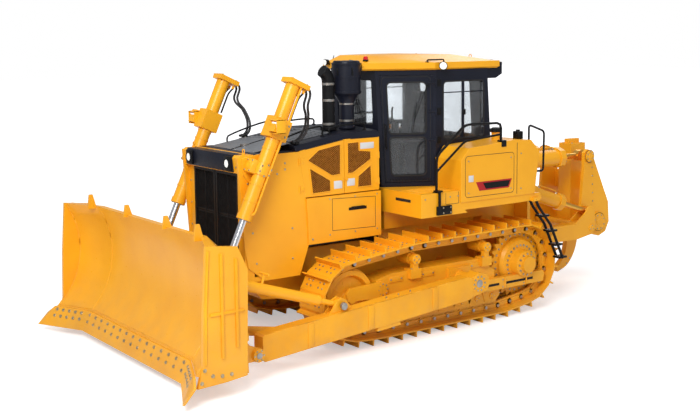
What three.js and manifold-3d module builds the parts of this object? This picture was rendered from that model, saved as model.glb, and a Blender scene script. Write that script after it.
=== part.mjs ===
// A tracked bulldozer with a semi-U blade, an enclosed cab and a single-shank ripper.
// Millimetres. +X is forward, +Y is the machine's left, +Z is up and the ground is z = 0.
// Each moving assembly is a group at its own pivot, and its pieces are placed inside it.
import * as THREE from 'three';
import { ConvexGeometry } from 'three/addons/geometries/ConvexGeometry.js';
import { mergeVertices } from 'three/addons/utils/BufferGeometryUtils.js';
import Module from 'manifold-3d';

const wasm = await Module();
wasm.setup();

// ---------------------------------------------------------------- driving dimensions
const GAP = 0.3; // between pieces that touch
const RUN = 6; // between pieces that move past each other
const BORE_GAP = 0.9; // around a cylinder's rod

// Undercarriage: the gauge is measured between the middles of the two tracks.
const GAUGE = 2140;
const SHOE_WIDTH = 560;
const SHOE_PITCH = 228.6;
const SHOE_THICK = 20;
const GROUSER = 76;
const GROUSER_FOOT = 26;
const GROUSER_TIP = 18;
const RAIL_DEPTH = 125; // from the shoe's back to the surface the wheels roll on
const RAIL_IN = 75; // a chain rail's inner side, from the track's middle
const RAIL_OUT = 117;
const IDLER_X = 1600;
const IDLER_Z = 646;
const IDLER_R = 395; // the radius that the chain rolls on
const SPROCKET_X = -1500;
const SPROCKET_Z = 730;
const SPROCKET_PITCH_R = 497;
const SPROCKET_RAIL_R = 445;
const SPROCKET_TEETH = 27;
const SPROCKET_HALF = 34;
const ROLLER_R = 110;
const ROLLER_COUNT = 8;
const ROLLER_FRONT_X = 1130;
const ROLLER_REAR_X = -900;
const BEND_FRONT_X = 1260; // where the lower run starts to rise to the idler
const BEND_REAR_X = -1050; // and to the sprocket
const CARRIER_R = 95;
const CARRIER_SLACK = 9; // the chain's chords cut the corner over the front one
const CARRIER_AT = [[553, 1058], [-754, 1068]];
const FRAME_HALF = 150; // half the width of a track frame's beam
const FRAME_BOTTOM = 480;
const FRAME_TOP = 905;
const FRAME_FRONT = 1190;
const FRAME_REAR = -960;
const BEAM_BOTTOM = 415; // the rail along the outside of a track frame, below the final drive
const BEAM_TOP = 590;
const BEAM_OUT = GAUGE / 2 + 232;

// Main frame: the welded body between the tracks.
const HULL_HALF = 450;
const HULL_WIDE = 600; // half width above the tracks and at the final drives
const HULL_REAR = -2100;
const HULL_FRONT = 2620;
const BELLY_Z = 520;
const DECK_Z = 1650; // the underside of the fenders
const ENGINE_BED_Z = 1240;
const NOSE_Z = 960; // the underside of the radiator guard

// Radiator guard, hood and engine doors.
const NOSE_HALF = 750;
const NOSE_FRONT = 2930;
const NOSE_RAKE = 70; // how far its top leans out past its foot
const NOSE_BACK = 2090;
const NOSE_TOP = 2600;
const GRILLE_HALF = NOSE_HALF - 170;
const GRILLE_TOP = 2362;
const GRILLE_BOTTOM = 1180;
const GRILLE_THICK = 45;
const SKIN = 40;
const DOOR_SILL_Z = 1980;
const HOOD_REAR = 760;
const HOOD_KINK = 1355; // where the engine doors meet and the hood levels out
const HOOD_FRONT_Z = 2595; // the hood's lower edge at its front
const HOOD_REAR_Z = 2715; // and from the kink back
const HOOD_THICK = 85;
const HOOD_CROWN = 30;
const FIREWALL = 50;

// Cab.
const CAB_TOP = 3600;
const CAB_SIDE = 930;
const CAB_WALL = 70;
const HINGE_X = -100; // the door hinge, on the middle pillar
const DOOR_SLANT = 29.1; // the front side walls turn in by this angle, in degrees
const DOOR_FOOT = 775; // from the hinge to the front pillar, at the floor
const DOOR_HEAD = 860; // and at the roof
const CAB_REAR_FOOT = -1180;
const CAB_REAR_HEAD = -1070;
const DOOR_THICK = 45;
const GLASS = 8;
const DOOR_BOTTOM = 2035;
const DOOR_TOP = 3525;
const WINDOW_SILL = 2620;
const WINDOW_HEAD = 3430;
const ROOF_THICK = 105;
const ROOF_CROWN = 205;
const ROOF_REAR = -1300;

// Fenders, tanks and access.
const LADDER_CLEAR = 35; // from the track's outer side to the ladder
const LADDER_WIDE = 125;
const LADDER_IN = GAUGE / 2 + SHOE_WIDTH / 2 + LADDER_CLEAR;
const LADDER_OUT = LADDER_IN + LADDER_WIDE;
const FENDER_OUT = LADDER_OUT - 25;
const FENDER_IN = 400;
const STEP_FRONT = 630;
const STEP_Z = 1970;
const TREAD_X = [40, 590]; // the raised strip on the step, inside the handrail's foot
const TREAD_Y = [1010, FENDER_OUT - 100];
const TREAD_THICK = 8;
const CAB_FLOOR = STEP_Z + GAP;
const TANK_SEAT = 1800;
const TANK_FRONT = -60;
const TANK_IN = 965;
const TANK_OUT = FENDER_OUT + 15;
const RAIL_R = 19;
const RAIL_Y = FENDER_OUT - 45;

// Blade and its push arms.
const PUSH_X = -250; // the trunnion on the track frame
const PUSH_Z = 680;
const ARM_IN = GAUGE / 2 + SHOE_WIDTH / 2 + 125;
const ARM_WIDE = 205;
const ARM_OUT = ARM_IN + ARM_WIDE;
const BLOCK_INSET = 8; // an arm's end block is narrower than the arm by this, each side
const BLADE_HALF = ARM_OUT + 385;
const FOLD_Y = BLADE_HALF - 605; // where the wings turn forward
const WING_LEAD = 255; // how far the wing's end stands in front of the middle
const BLADE_TOP = 1790;
const BLADE_HOLLOW = 260; // depth of the curved face
const BLADE_BACK = 3660;
const EDGE_TIP_HALF = BLADE_HALF + 115;
const EDGE_Z = 95; // the cutting edge is carried this high
const LIFT_PIN = [3430, 910]; // x and z of a lift rod's eye, on the blade's back
const STAY_TOP_R = 62;

// Lift cylinders.
const TRUNNION_X = 2733;
const TRUNNION_Z = 2420;
const LIFT_BARREL_R = 92;
const LIFT_BLOCK_HALF = LIFT_BARREL_R + 23; // half the width of the blocks on the barrel
const LIFT_CLEAR = 47; // from the nose's side to the barrel
const LIFT_Y = NOSE_HALF + LIFT_BARREL_R + LIFT_CLEAR;
const LIFT_BARREL_DOWN = 668;
const LIFT_BARREL_UP = 1165;
const LIFT_ROD_R = 48;
const LIFT_BORE_TOP = -1080; // the bore and the rod's inner end, along the cylinder from its trunnion
const LIFT_ROD_TOP = -180;
const LIFT_EYE_R = 88;
const LIFT_EYE_HALF = 52;

// Ripper: a parallel linkage, and the four pins of it as x and z.
const RIP_LOW = [-2300, 940];
const RIP_HEEL = [-3630, 945];
const RIP_HEAD = [-3735, 2090];
const RIP_HIGH = [RIP_LOW[0] + RIP_HEAD[0] - RIP_HEEL[0], RIP_LOW[1] + RIP_HEAD[1] - RIP_HEEL[1]];
const RIP_LIFT_LOW = [-2300, 1640];
const RIP_LIFT_EYE = [-3600, 1205];
const RIP_ARM_IN = 500;
const RIP_ARM_OUT = 680;
const RIP_CHEEK_OUT = RIP_ARM_IN - 28; // the bracket's two middle plates
const RIP_CHEEK_IN = RIP_CHEEK_OUT - 34;
const RIP_LUG_IN = RIP_ARM_OUT + 24; // and its short outer ones
const RIP_LUG_OUT = RIP_LUG_IN + 36;
const RIP_PITCH_Y = 285;
const RIP_LIFT_Y = (RIP_ARM_IN + RIP_ARM_OUT) / 2;
const RIP_PLATE_OUT = RIP_ARM_IN - 10;
const RIP_PLATE_IN = RIP_PLATE_OUT - 60;
const RIP_PIN_R = 52;
const HEEL_SHAFT_R = 62;
const RIP_POCKET = 135; // half width of the shank's pocket
const PITCH_BARREL_R = 135;
const PITCH_BARREL = 880;
const PITCH_ROD_IN = 275; // a rod's inner end, from the barrel's pin
const LIFTER_BARREL_R = 110;
const LIFTER_BARREL = 720;
const LIFTER_ROD_IN = 340;
const RIP_BORE_IN = 112;
const RIP_ROD_R = 45;
const SHANK_HALF = 48;

// ---------------------------------------------------------------- materials
const paint = new THREE.MeshStandardMaterial({ color: 0xf5a623, roughness: 0.45, metalness: 0.1 });
const darkPaint = new THREE.MeshStandardMaterial({ color: 0x2b3040, roughness: 0.5, metalness: 0.1 });
const blackPaint = new THREE.MeshStandardMaterial({ color: 0x15161a, roughness: 0.55, metalness: 0.1 });
const greyTop = new THREE.MeshStandardMaterial({ color: 0x9fa5ae, roughness: 0.55, metalness: 0.2 });
const chrome = new THREE.MeshStandardMaterial({ color: 0xdfe3e8, roughness: 0.12, metalness: 1 });
const castIron = new THREE.MeshStandardMaterial({ color: 0x4a4744, roughness: 0.8, metalness: 0.4 });
const glass = new THREE.MeshStandardMaterial({ color: 0xc9d3da, roughness: 0.05, transparent: true, opacity: 0.3 });
const rubber = new THREE.MeshStandardMaterial({ color: 0x111214, roughness: 0.7 });
const cushion = new THREE.MeshStandardMaterial({ color: 0x26282d, roughness: 0.9 });

// ---------------------------------------------------------------- solids and booleans
function solidOf(geometry) {
  const bare = geometry.index ? geometry.toNonIndexed() : geometry.clone();
  bare.deleteAttribute('normal');
  bare.deleteAttribute('uv');
  const merged = mergeVertices(bare, 1e-3);
  return new wasm.Manifold(new wasm.Mesh({
    numProp: 3,
    vertProperties: new Float32Array(merged.attributes.position.array),
    triVerts: new Uint32Array(merged.index.array),
  }));
}

function geometryOf(solid) {
  const mesh = solid.getMesh();
  const geometry = new THREE.BufferGeometry();
  geometry.setAttribute('position', new THREE.BufferAttribute(new Float32Array(mesh.vertProperties), 3));
  geometry.setIndex(new THREE.BufferAttribute(new Uint32Array(mesh.triVerts), 1));
  return geometry;
}

const join = (...pieces) => geometryOf(pieces.map(solidOf).reduce((a, b) => a.add(b)));
const cut = (body, ...tools) => geometryOf(tools.map(solidOf).reduce((a, b) => a.subtract(b), solidOf(body)));

function mirrored(geometry) {
  const copy = (geometry.index ? geometry.toNonIndexed() : geometry.clone()).scale(1, -1, 1);
  const p = copy.attributes.position;
  for (let i = 0; i < p.count; i += 3) {
    const [x, y, z] = [p.getX(i), p.getY(i), p.getZ(i)];
    p.setXYZ(i, p.getX(i + 1), p.getY(i + 1), p.getZ(i + 1));
    p.setXYZ(i + 1, x, y, z);
  }
  return mergeVertices(bareCopy(copy), 1e-4);
}

function bareCopy(geometry) {
  geometry.deleteAttribute('normal');
  geometry.deleteAttribute('uv');
  return geometry;
}

// ---------------------------------------------------------------- shape helpers
function box(x0, x1, y0, y1, z0, z1) {
  const shape = new THREE.BoxGeometry(Math.abs(x1 - x0), Math.abs(y1 - y0), Math.abs(z1 - z0));
  return shape.translate((x0 + x1) / 2, (y0 + y1) / 2, (z0 + z1) / 2);
}

function outline(points, holes) {
  const shape = new THREE.Shape(points.map(([a, b]) => new THREE.Vector2(a, b)));
  holes.forEach((hole) => shape.holes.push(new THREE.Path(hole.map(([a, b]) => new THREE.Vector2(a, b)))));
  return shape;
}

// An outline in X and Z, as thick as from y0 to y1.
function sidePlate(points, y0, y1, holes = []) {
  const slab = new THREE.ExtrudeGeometry(outline(points, holes), { depth: y1 - y0, bevelEnabled: false });
  return slab.rotateX(Math.PI / 2).translate(0, y1, 0);
}

// An outline in Y and Z, from x0 to x1.
function frontPlate(points, x0, x1, holes = []) {
  const slab = new THREE.ExtrudeGeometry(outline(points, holes), { depth: x1 - x0, bevelEnabled: false });
  const turn = new THREE.Matrix4().makeBasis(
    new THREE.Vector3(0, 1, 0), new THREE.Vector3(0, 0, 1), new THREE.Vector3(1, 0, 0));
  return slab.applyMatrix4(turn).translate(x0, 0, 0);
}

function roundBar(from, to, radius, sides = 14, endRadius = radius) {
  const a = new THREE.Vector3(...from);
  const b = new THREE.Vector3(...to);
  const bar = new THREE.CylinderGeometry(endRadius, radius, a.distanceTo(b), sides);
  const turn = new THREE.Quaternion().setFromUnitVectors(
    new THREE.Vector3(0, 1, 0), b.clone().sub(a).normalize());
  return bar.applyQuaternion(turn).translate(...a.add(b).multiplyScalar(0.5).toArray());
}

const crossBar = (x, z, y0, y1, radius, sides = 14) => roundBar([x, y0, z], [x, y1, z], radius, sides);

// A turned shape about the Y axis through (x, z): its profile is [radius, y] pairs.
function turned(profile, x, z, sides = 24) {
  const shape = new THREE.LatheGeometry(profile.map(([r, y]) => new THREE.Vector2(r, y)), sides);
  return shape.translate(x, 0, z);
}

// A bent bar through a list of points, with its inner corners rounded.
class BentLine extends THREE.Curve {
  constructor(points) {
    super();
    this.points = points;
  }

  getPoint(t) {
    const at = t * (this.points.length - 1);
    const i = Math.min(Math.floor(at + 1e-9), this.points.length - 2);
    return this.points[i].clone().lerp(this.points[i + 1], at - i);
  }

  getPointAt(u) {
    return this.getPoint(u);
  }

  getTangentAt(u) {
    const i = Math.round(u * (this.points.length - 1));
    const before = this.points[Math.max(i - 1, 0)];
    const here = this.points[i];
    const after = this.points[Math.min(i + 1, this.points.length - 1)];
    const arriving = here.clone().sub(before).normalize();
    const leaving = after.clone().sub(here).normalize();
    return arriving.add(leaving).normalize();
  }
}

function bentBar(corners, radius, bend = 60, sides = 6) {
  const at = corners.map((c) => new THREE.Vector3(...c));
  const points = [at[0]];
  for (let i = 1; i < at.length - 1; i += 1) {
    const room = Math.min(bend, at[i].distanceTo(at[i - 1]) / 2.1, at[i].distanceTo(at[i + 1]) / 2.1);
    const start = at[i].clone().add(at[i - 1].clone().sub(at[i]).setLength(room));
    const end = at[i].clone().add(at[i + 1].clone().sub(at[i]).setLength(room));
    const corner = new THREE.QuadraticBezierCurve3(start, at[i], end);
    points.push(...corner.getPoints(2));
  }
  points.push(at[at.length - 1]);
  return sweep(points, radius, sides);
}

function sweep(points, radius, sides) {
  const section = new THREE.Shape();
  for (let i = 0; i < sides; i += 1) {
    const a = (i / sides) * Math.PI * 2;
    section[i ? 'lineTo' : 'moveTo'](radius * Math.cos(a), radius * Math.sin(a));
  }
  return new THREE.ExtrudeGeometry(section, {
    steps: points.length - 1, extrudePath: new BentLine(points), bevelEnabled: false,
  });
}

// A closed skin over sections across the machine that all have the same number of points.
function loft(given) {
  const flat = (points) => points.map(([x, , z]) => new THREE.Vector2(x, z));
  const runs = given[0][0][1] < given[given.length - 1][0][1] ? given : given.slice().reverse();
  const turnedOver = THREE.ShapeUtils.area(flat(runs[0])) < 0;
  const sections = runs.map((points) => (turnedOver ? points.slice().reverse() : points));
  const n = sections[0].length;
  const index = [];
  for (let s = 0; s < sections.length - 1; s += 1) {
    for (let i = 0; i < n; i += 1) {
      const [a, b] = [s * n + i, s * n + ((i + 1) % n)];
      index.push(a, b + n, b, a, a + n, b + n);
    }
  }
  const last = (sections.length - 1) * n;
  const cap = (points) => THREE.ShapeUtils.triangulateShape(flat(points), []);
  cap(sections[0]).forEach(([a, b, c]) => index.push(a, b, c));
  cap(sections[sections.length - 1]).forEach(([a, b, c]) => index.push(last + a, last + c, last + b));
  const geometry = new THREE.BufferGeometry();
  geometry.setAttribute('position', new THREE.Float32BufferAttribute(sections.flat(2), 3));
  geometry.setIndex(index);
  return geometry;
}

const hull = (points) => new ConvexGeometry(points.map((p) => new THREE.Vector3(...p)));

// ---------------------------------------------------------------- scene helpers
function place(group, name, geometry, material) {
  const origin = group.getWorldPosition(new THREE.Vector3());
  const mesh = new THREE.Mesh(geometry, material);
  mesh.name = name;
  mesh.position.copy(origin).negate();
  group.add(mesh);
}

function pivot(parent, x, y, z) {
  const group = new THREE.Group();
  const origin = parent.getWorldPosition(new THREE.Vector3());
  group.position.set(x, y, z).sub(origin);
  parent.add(group);
  return group;
}

// The same piece on both sides: it is drawn for the left, and the right one is its mirror image.
function placePair(group, name, geometry, material) {
  place(group, `left_${name}`, geometry, material);
  place(group, `right_${name}`, mirrored(geometry), material);
}

const dozer = new THREE.Group();

// ---------------------------------------------------------------- tracks
const TRACK_Y = GAUGE / 2;
const RAIL_OFFSET = SHOE_THICK + RAIL_DEPTH;
const ROLLER_Z = GROUSER + RAIL_OFFSET + ROLLER_R;

// The belt's outer path goes round these wheels, clockwise seen from the machine's left.
function beltCircles() {
  return [
    [BEND_REAR_X, ROLLER_Z, ROLLER_R + RAIL_OFFSET],
    [SPROCKET_X, SPROCKET_Z, SPROCKET_RAIL_R + RAIL_OFFSET],
    [...CARRIER_AT[0], CARRIER_R + RAIL_OFFSET],
    [IDLER_X, IDLER_Z, IDLER_R + RAIL_OFFSET],
    [BEND_FRONT_X, ROLLER_Z, ROLLER_R + RAIL_OFFSET],
  ];
}

// The point and outward normal at each distance along a belt round circles in order.
function beltPath() {
  const circles = beltCircles();
  const tangents = circles.map(([x, z, r], i) => {
    const [u, w, q] = circles[(i + 1) % circles.length];
    const along = Math.atan2(w - z, u - x);
    return along + Math.acos((r - q) / Math.hypot(u - x, w - z));
  });
  const pieces = [];
  circles.forEach(([x, z, r], i) => {
    const start = tangents[(i + circles.length - 1) % circles.length];
    const turn = ((start - tangents[i]) % (2 * Math.PI) + 2 * Math.PI) % (2 * Math.PI);
    pieces.push({ length: turn * r, at: (s) => [x, z, r, start - s / r] });
    const [u, w, q] = circles[(i + 1) % circles.length];
    const a = tangents[i];
    const from = [x + r * Math.cos(a), z + r * Math.sin(a)];
    const to = [u + q * Math.cos(a), w + q * Math.sin(a)];
    const length = Math.hypot(to[0] - from[0], to[1] - from[1]);
    pieces.push({ length, at: (s) => [
      from[0] + (to[0] - from[0]) * s / length, from[1] + (to[1] - from[1]) * s / length, 0, a] });
  });
  const total = pieces.reduce((sum, piece) => sum + piece.length, 0);
  return { total, at: (distance) => {
    let s = ((distance % total) + total) % total;
    for (const piece of pieces) {
      if (s <= piece.length) {
        const [x, z, r, a] = piece.at(s);
        return { x: x + r * Math.cos(a), z: z + r * Math.sin(a), nx: Math.cos(a), nz: Math.sin(a) };
      }
      s -= piece.length;
    }
    return null;
  } };
}

// The pitch is measured along the chain's pins, which lie inside the shoes.
const PIN_OFFSET = RAIL_OFFSET + SPROCKET_RAIL_R - SPROCKET_PITCH_R;
const BELT = beltPath();
const SHOES = Math.round((BELT.total - 2 * Math.PI * PIN_OFFSET) / SHOE_PITCH);

function beltOffset(depth) {
  return Array.from({ length: SHOES }, (_, k) => {
    const p = BELT.at((k * BELT.total) / SHOES);
    return [p.x - p.nx * depth, p.z - p.nz * depth];
  });
}

// A ring without the points that lie on a straight run.
function cornersOnly(ring) {
  return ring.filter(([x, z], i) => {
    const [a, b] = ring[(i + ring.length - 1) % ring.length];
    const [c, d] = ring[(i + 1) % ring.length];
    return Math.abs((x - a) * (d - z) - (z - b) * (c - x)) > 1;
  });
}

// Each shoe is a straight plate from joint to joint, with one grouser across it.
function shoeOutline() {
  const corners = beltOffset(0);
  return corners.flatMap(([x, z], k) => {
    const [u, w] = corners[(k + 1) % SHOES];
    const length = Math.hypot(u - x, w - z);
    const [dx, dz] = [(u - x) / length, (w - z) / length];
    const spot = (along, out) => [x + dx * along - dz * out, z + dz * along + dx * out];
    const foot = length * 0.16;
    const lean = (GROUSER_FOOT - GROUSER_TIP) / 2;
    return [[x, z], spot(foot, 0), spot(foot + lean, GROUSER),
      spot(foot + lean + GROUSER_TIP, GROUSER), spot(foot + GROUSER_FOOT, 0)];
  });
}

function buildTrack() {
  const half = SHOE_WIDTH / 2;
  const back = cornersOnly(beltOffset(SHOE_THICK));
  const ring = (outer, inner, y0, y1) => cut(
    sidePlate(outer, TRACK_Y + y0, TRACK_Y + y1), sidePlate(inner, TRACK_Y + y0 - 1, TRACK_Y + y1 + 1));
  const shoes = ring(cornersOnly(shoeOutline()), back, -half, half);
  const railBack = cornersOnly(beltOffset(SHOE_THICK / 2));
  const railFace = cornersOnly(beltOffset(RAIL_OFFSET));
  return join(shoes, ring(railBack, railFace, RAIL_IN, RAIL_OUT), ring(railBack, railFace, -RAIL_OUT, -RAIL_IN));
}

// The chain's straight links dip inside a wheel's path, so the wheel's rim stays under them.
const rimUnderLinks = (radius) => radius * Math.cos(BELT.total / SHOES / 2 / (radius + RAIL_OFFSET)) - GAP;
const FORK_IN = FRAME_HALF - 12;

function buildIdler() {
  const rim = rimUnderLinks(IDLER_R);
  const guide = RAIL_IN - 8;
  const hub = FORK_IN - GAP;
  const profile = [
    [0, -hub], [95, -hub], [95, -60], [rim - 95, -45], [rim - 70, -RAIL_OUT], [rim, -RAIL_OUT],
    [rim, -guide], [rim + 24, -guide + 6], [rim + 24, guide - 6], [rim, guide], [rim, RAIL_OUT],
    [rim - 70, RAIL_OUT], [rim - 95, 45], [95, 60], [95, hub], [0, hub]];
  return turned(profile.map(([r, y]) => [r, y + TRACK_Y]), IDLER_X, IDLER_Z, 26);
}

const HUB_R = 372;
const HUB_OUT = 1398;

// The toothed ring, with the final drive's case and its bolted hub, from the hull to the outer face.
function buildSprocket() {
  const steps = SPROCKET_TEETH * 4;
  const tip = SPROCKET_PITCH_R + 14;
  const root = SPROCKET_PITCH_R - 42;
  const teeth = Array.from({ length: steps }, (_, i) => {
    const a = ((i + 0.5) / steps) * Math.PI * 2;
    const r = i % 4 < 2 ? root : tip;
    return [SPROCKET_X + r * Math.cos(a), SPROCKET_Z + r * Math.sin(a)];
  });
  const ring = sidePlate(teeth, TRACK_Y - SPROCKET_HALF, TRACK_Y + SPROCKET_HALF);
  const hub = turned([
    [0, HULL_WIDE + GAP], [300, HULL_WIDE + GAP], [330, TRACK_Y - 90], [HUB_R, TRACK_Y - 60],
    [HUB_R, TRACK_Y + 75], [HUB_R - 35, TRACK_Y + 122], [215, TRACK_Y + 134], [190, HUB_OUT - 75],
    [128, HUB_OUT - 45], [122, HUB_OUT], [0, HUB_OUT]], SPROCKET_X, SPROCKET_Z, 24);
  const beamRoom = box(SPROCKET_X - 420, SPROCKET_X + 500, TRACK_Y + FRAME_HALF - 14, BEAM_OUT + GAP,
    BEAM_BOTTOM - 40, BEAM_TOP + GAP);
  return cut(join(ring, hub), beamRoom);
}

const rollerX = (i) => ROLLER_FRONT_X + ((ROLLER_REAR_X - ROLLER_FRONT_X) * i) / (ROLLER_COUNT - 1);

// The end rollers stand a little off the chain, which starts to rise there.
function bottomRoller(x, i) {
  const tread = ROLLER_R - (i % (ROLLER_COUNT - 1) ? GAP : 2.5);
  const rim = RAIL_OUT + 5;
  return turned([[0, -FORK_IN - 10], [58, -FORK_IN - 10], [tread, -rim], [tread, rim], [58, FORK_IN + 10],
    [0, FORK_IN + 10]].map(([r, y]) => [r, y + TRACK_Y]), x, ROLLER_Z, 12);
}

function carrierRoller([x, z]) {
  const post = box(x - 45, x + 45, TRACK_Y + 135, TRACK_Y + 205, FRAME_TOP - 60, z + 20);
  const clamp = crossBar(x, z, TRACK_Y + 124, TRACK_Y + 225, 72, 16);
  const tread = CARRIER_R - CARRIER_SLACK;
  const wheel = turned([
    [0, -125], [66, -125], [tread, -RAIL_OUT], [tread, RAIL_OUT], [50, 120], [50, 150], [0, 150],
  ].map(([r, y]) => [r, y + TRACK_Y]), x, z, 12);
  const foot = box(x - 90, x + 90, TRACK_Y + 60, TRACK_Y + 215, FRAME_TOP - 110, FRAME_TOP + 22);
  return [post, clamp, wheel, foot];
}

// The beam that carries the rollers, with the guards beside them and the push arm's trunnion.
function buildTrackFrame() {
  const beam = sidePlate([
    [FRAME_FRONT, FRAME_BOTTOM + 60], [FRAME_FRONT, FRAME_TOP - 60], [FRAME_FRONT - 260, FRAME_TOP],
    [-640, FRAME_TOP], [FRAME_REAR, 700], [FRAME_REAR, FRAME_BOTTOM],
    [FRAME_FRONT - 60, FRAME_BOTTOM]], TRACK_Y - FRAME_HALF, TRACK_Y + FRAME_HALF);
  const guard = (y) => sidePlate([
    [ROLLER_FRONT_X + 150, FRAME_BOTTOM + 20], [ROLLER_REAR_X - 150, FRAME_BOTTOM + 20],
    [ROLLER_REAR_X - 150, 330], [ROLLER_REAR_X - 60, 232], [ROLLER_FRONT_X + 60, 232],
    [ROLLER_FRONT_X + 150, 330]], y - 12, y + 12);
  const rollers = Array.from({ length: ROLLER_COUNT }, (_, i) => bottomRoller(rollerX(i), i));
  const fork = (y) => sidePlate([
    [FRAME_FRONT - 80, 600], [IDLER_X + 70, 630], [IDLER_X + 95, 730], [IDLER_X + 40, 800],
    [FRAME_FRONT - 80, 820]], y - 20, y + 20);
  const outerBeam = sidePlate([
    [FRAME_FRONT - 80, BEAM_BOTTOM], [FRAME_FRONT - 20, BEAM_BOTTOM + 60], [FRAME_FRONT - 60, BEAM_TOP],
    [SPROCKET_X - 360, BEAM_TOP], [SPROCKET_X - 400, BEAM_TOP - 40], [SPROCKET_X - 380, BEAM_BOTTOM + 10]],
  TRACK_Y + FRAME_HALF - 12, BEAM_OUT);
  const trunnion = join(
    crossBar(PUSH_X, PUSH_Z, TRACK_Y + FRAME_HALF - 20, ARM_IN + BLOCK_INSET - GAP, 118, 16),
    box(PUSH_X - 200, PUSH_X + 200, TRACK_Y + FRAME_HALF - 20, TRACK_Y + 210, PUSH_Z - 150, PUSH_Z + 170));
  const carriers = CARRIER_AT.flatMap(carrierRoller);
  return join(beam, guard(TRACK_Y + 152), guard(TRACK_Y - 152), ...rollers,
    fork(TRACK_Y + FORK_IN + 20), fork(TRACK_Y - FORK_IN - 20), outerBeam, trunnion, ...carriers);
}

// ---------------------------------------------------------------- main frame
function buildMainFrame() {
  const spine = sidePlate([
    [HULL_FRONT - 120, 640], [HULL_FRONT, 760], [HULL_FRONT, NOSE_Z - GAP], [NOSE_BACK - GAP, NOSE_Z - GAP],
    [NOSE_BACK - GAP, ENGINE_BED_Z], [HOOD_REAR - FIREWALL - 40, ENGINE_BED_Z],
    [STEP_FRONT - 60, DECK_Z - GAP], [-1640, DECK_Z - GAP], [-1820, 1780], [HULL_REAR, 1780],
    [HULL_REAR, 700], [HULL_REAR + 140, BELLY_Z + 40], [-1300, BELLY_Z], [1500, BELLY_Z]],
  -HULL_HALF, HULL_HALF);
  const upper = sidePlate([
    [STEP_FRONT - 60, 1380], [STEP_FRONT - 60, DECK_Z - GAP], [-1640, DECK_Z - GAP], [-1640, 1380]],
  -HULL_WIDE, HULL_WIDE);
  const drives = sidePlate([
    [SPROCKET_X + 360, 560], [SPROCKET_X + 360, 1100], [SPROCKET_X + 200, 1400],
    [SPROCKET_X - 120, 1400], [SPROCKET_X - 380, 1100], [SPROCKET_X - 380, 560]], -HULL_WIDE, HULL_WIDE);
  const reach = TRACK_Y - FRAME_HALF - GAP;
  const pivotShaft = crossBar(-560, 720, -reach, reach, 95, 20);
  const equalizer = box(930, 1050, -(reach - 24), reach - 24, 560, 700);
  return join(spine, upper, drives, pivotShaft, equalizer);
}

// ---------------------------------------------------------------- radiator guard and grille doors
// The seam between the guard's cheek and the engine door leans forward as it rises.
const PANEL_X = NOSE_BACK - 100; // the front end of the panel below the engine doors
const PANEL_PROUD = 28;
const SEAM_LEAN = 0.153;
const seamX = (z) => NOSE_BACK - 105 + (z - DOOR_SILL_Z) * SEAM_LEAN;
const noseFrontAt = (z) => NOSE_FRONT + (NOSE_RAKE * (z - 1400)) / (NOSE_TOP - 1400);

function buildRadiatorGuard() {
  const cheekOutline = [
    [NOSE_BACK, NOSE_Z], [HULL_FRONT + 10, NOSE_Z], [NOSE_FRONT - 60, 1150], [noseFrontAt(1400) - 10, 1400],
    [noseFrontAt(NOSE_TOP), NOSE_TOP - 20], [seamX(HOOD_FRONT_Z) + GAP, HOOD_FRONT_Z - 3],
    [seamX(DOOR_SILL_Z) + GAP, DOOR_SILL_Z], [seamX(DOOR_SILL_Z) - 20, 1850], [seamX(DOOR_SILL_Z) - 60, 1400]];
  const cheek = (y0, y1) => sidePlate(cheekOutline, y0, y1);
  const lintel = sidePlate([
    [NOSE_FRONT - 170, GRILLE_TOP + 8], [noseFrontAt(GRILLE_TOP) - 20, GRILLE_TOP + 8],
    [noseFrontAt(NOSE_TOP) - 10, NOSE_TOP - 30], [noseFrontAt(NOSE_TOP) - 40, NOSE_TOP],
    [NOSE_FRONT - 170, NOSE_TOP]], -NOSE_HALF + 20, NOSE_HALF - 20);
  const sill = box(NOSE_BACK, NOSE_FRONT - 60, -NOSE_HALF + 20, NOSE_HALF - 20, NOSE_Z, NOSE_Z + 60);
  const threshold = box(NOSE_FRONT - 160, NOSE_FRONT - 62, -NOSE_HALF + 20, NOSE_HALF - 20,
    NOSE_Z + 20, GRILLE_BOTTOM - 8);
  const jamb = (side) => box(NOSE_FRONT - 150, NOSE_FRONT - 20, side * (GRILLE_HALF + GAP),
    side * (NOSE_HALF - 20), NOSE_Z + 100, NOSE_TOP - 60);
  const core = box(NOSE_FRONT - 560, NOSE_FRONT - 380, -NOSE_HALF + 20, NOSE_HALF - 20, NOSE_Z + 20, 2440);
  const yoke = (side) => {
    const plate = sidePlate([
      [TRUNNION_X - 250, TRUNNION_Z - 190], [TRUNNION_X + 60, TRUNNION_Z - 240],
      [TRUNNION_X + 205, TRUNNION_Z - 60], [TRUNNION_X + 215, TRUNNION_Z + 150],
      [TRUNNION_X - 40, TRUNNION_Z + 185], [TRUNNION_X - 250, TRUNNION_Z + 80]],
    NOSE_HALF - 10, NOSE_HALF + 22);
    return side > 0 ? plate : mirrored(plate);
  };
  const sidePanel = sidePlate([
    [HOOD_REAR, 1352], [PANEL_X - 30, 1352], [PANEL_X - 20, 1700], [PANEL_X, DOOR_SILL_Z - 12],
    [HOOD_REAR, DOOR_SILL_Z - 12]], NOSE_HALF - SKIN, NOSE_HALF + PANEL_PROUD);
  return join(cheek(NOSE_HALF - SKIN, NOSE_HALF), cheek(-NOSE_HALF, -NOSE_HALF + SKIN), lintel, sill,
    threshold, jamb(1), jamb(-1), core, yoke(1), yoke(-1), sidePanel, mirrored(sidePanel));
}

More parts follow.
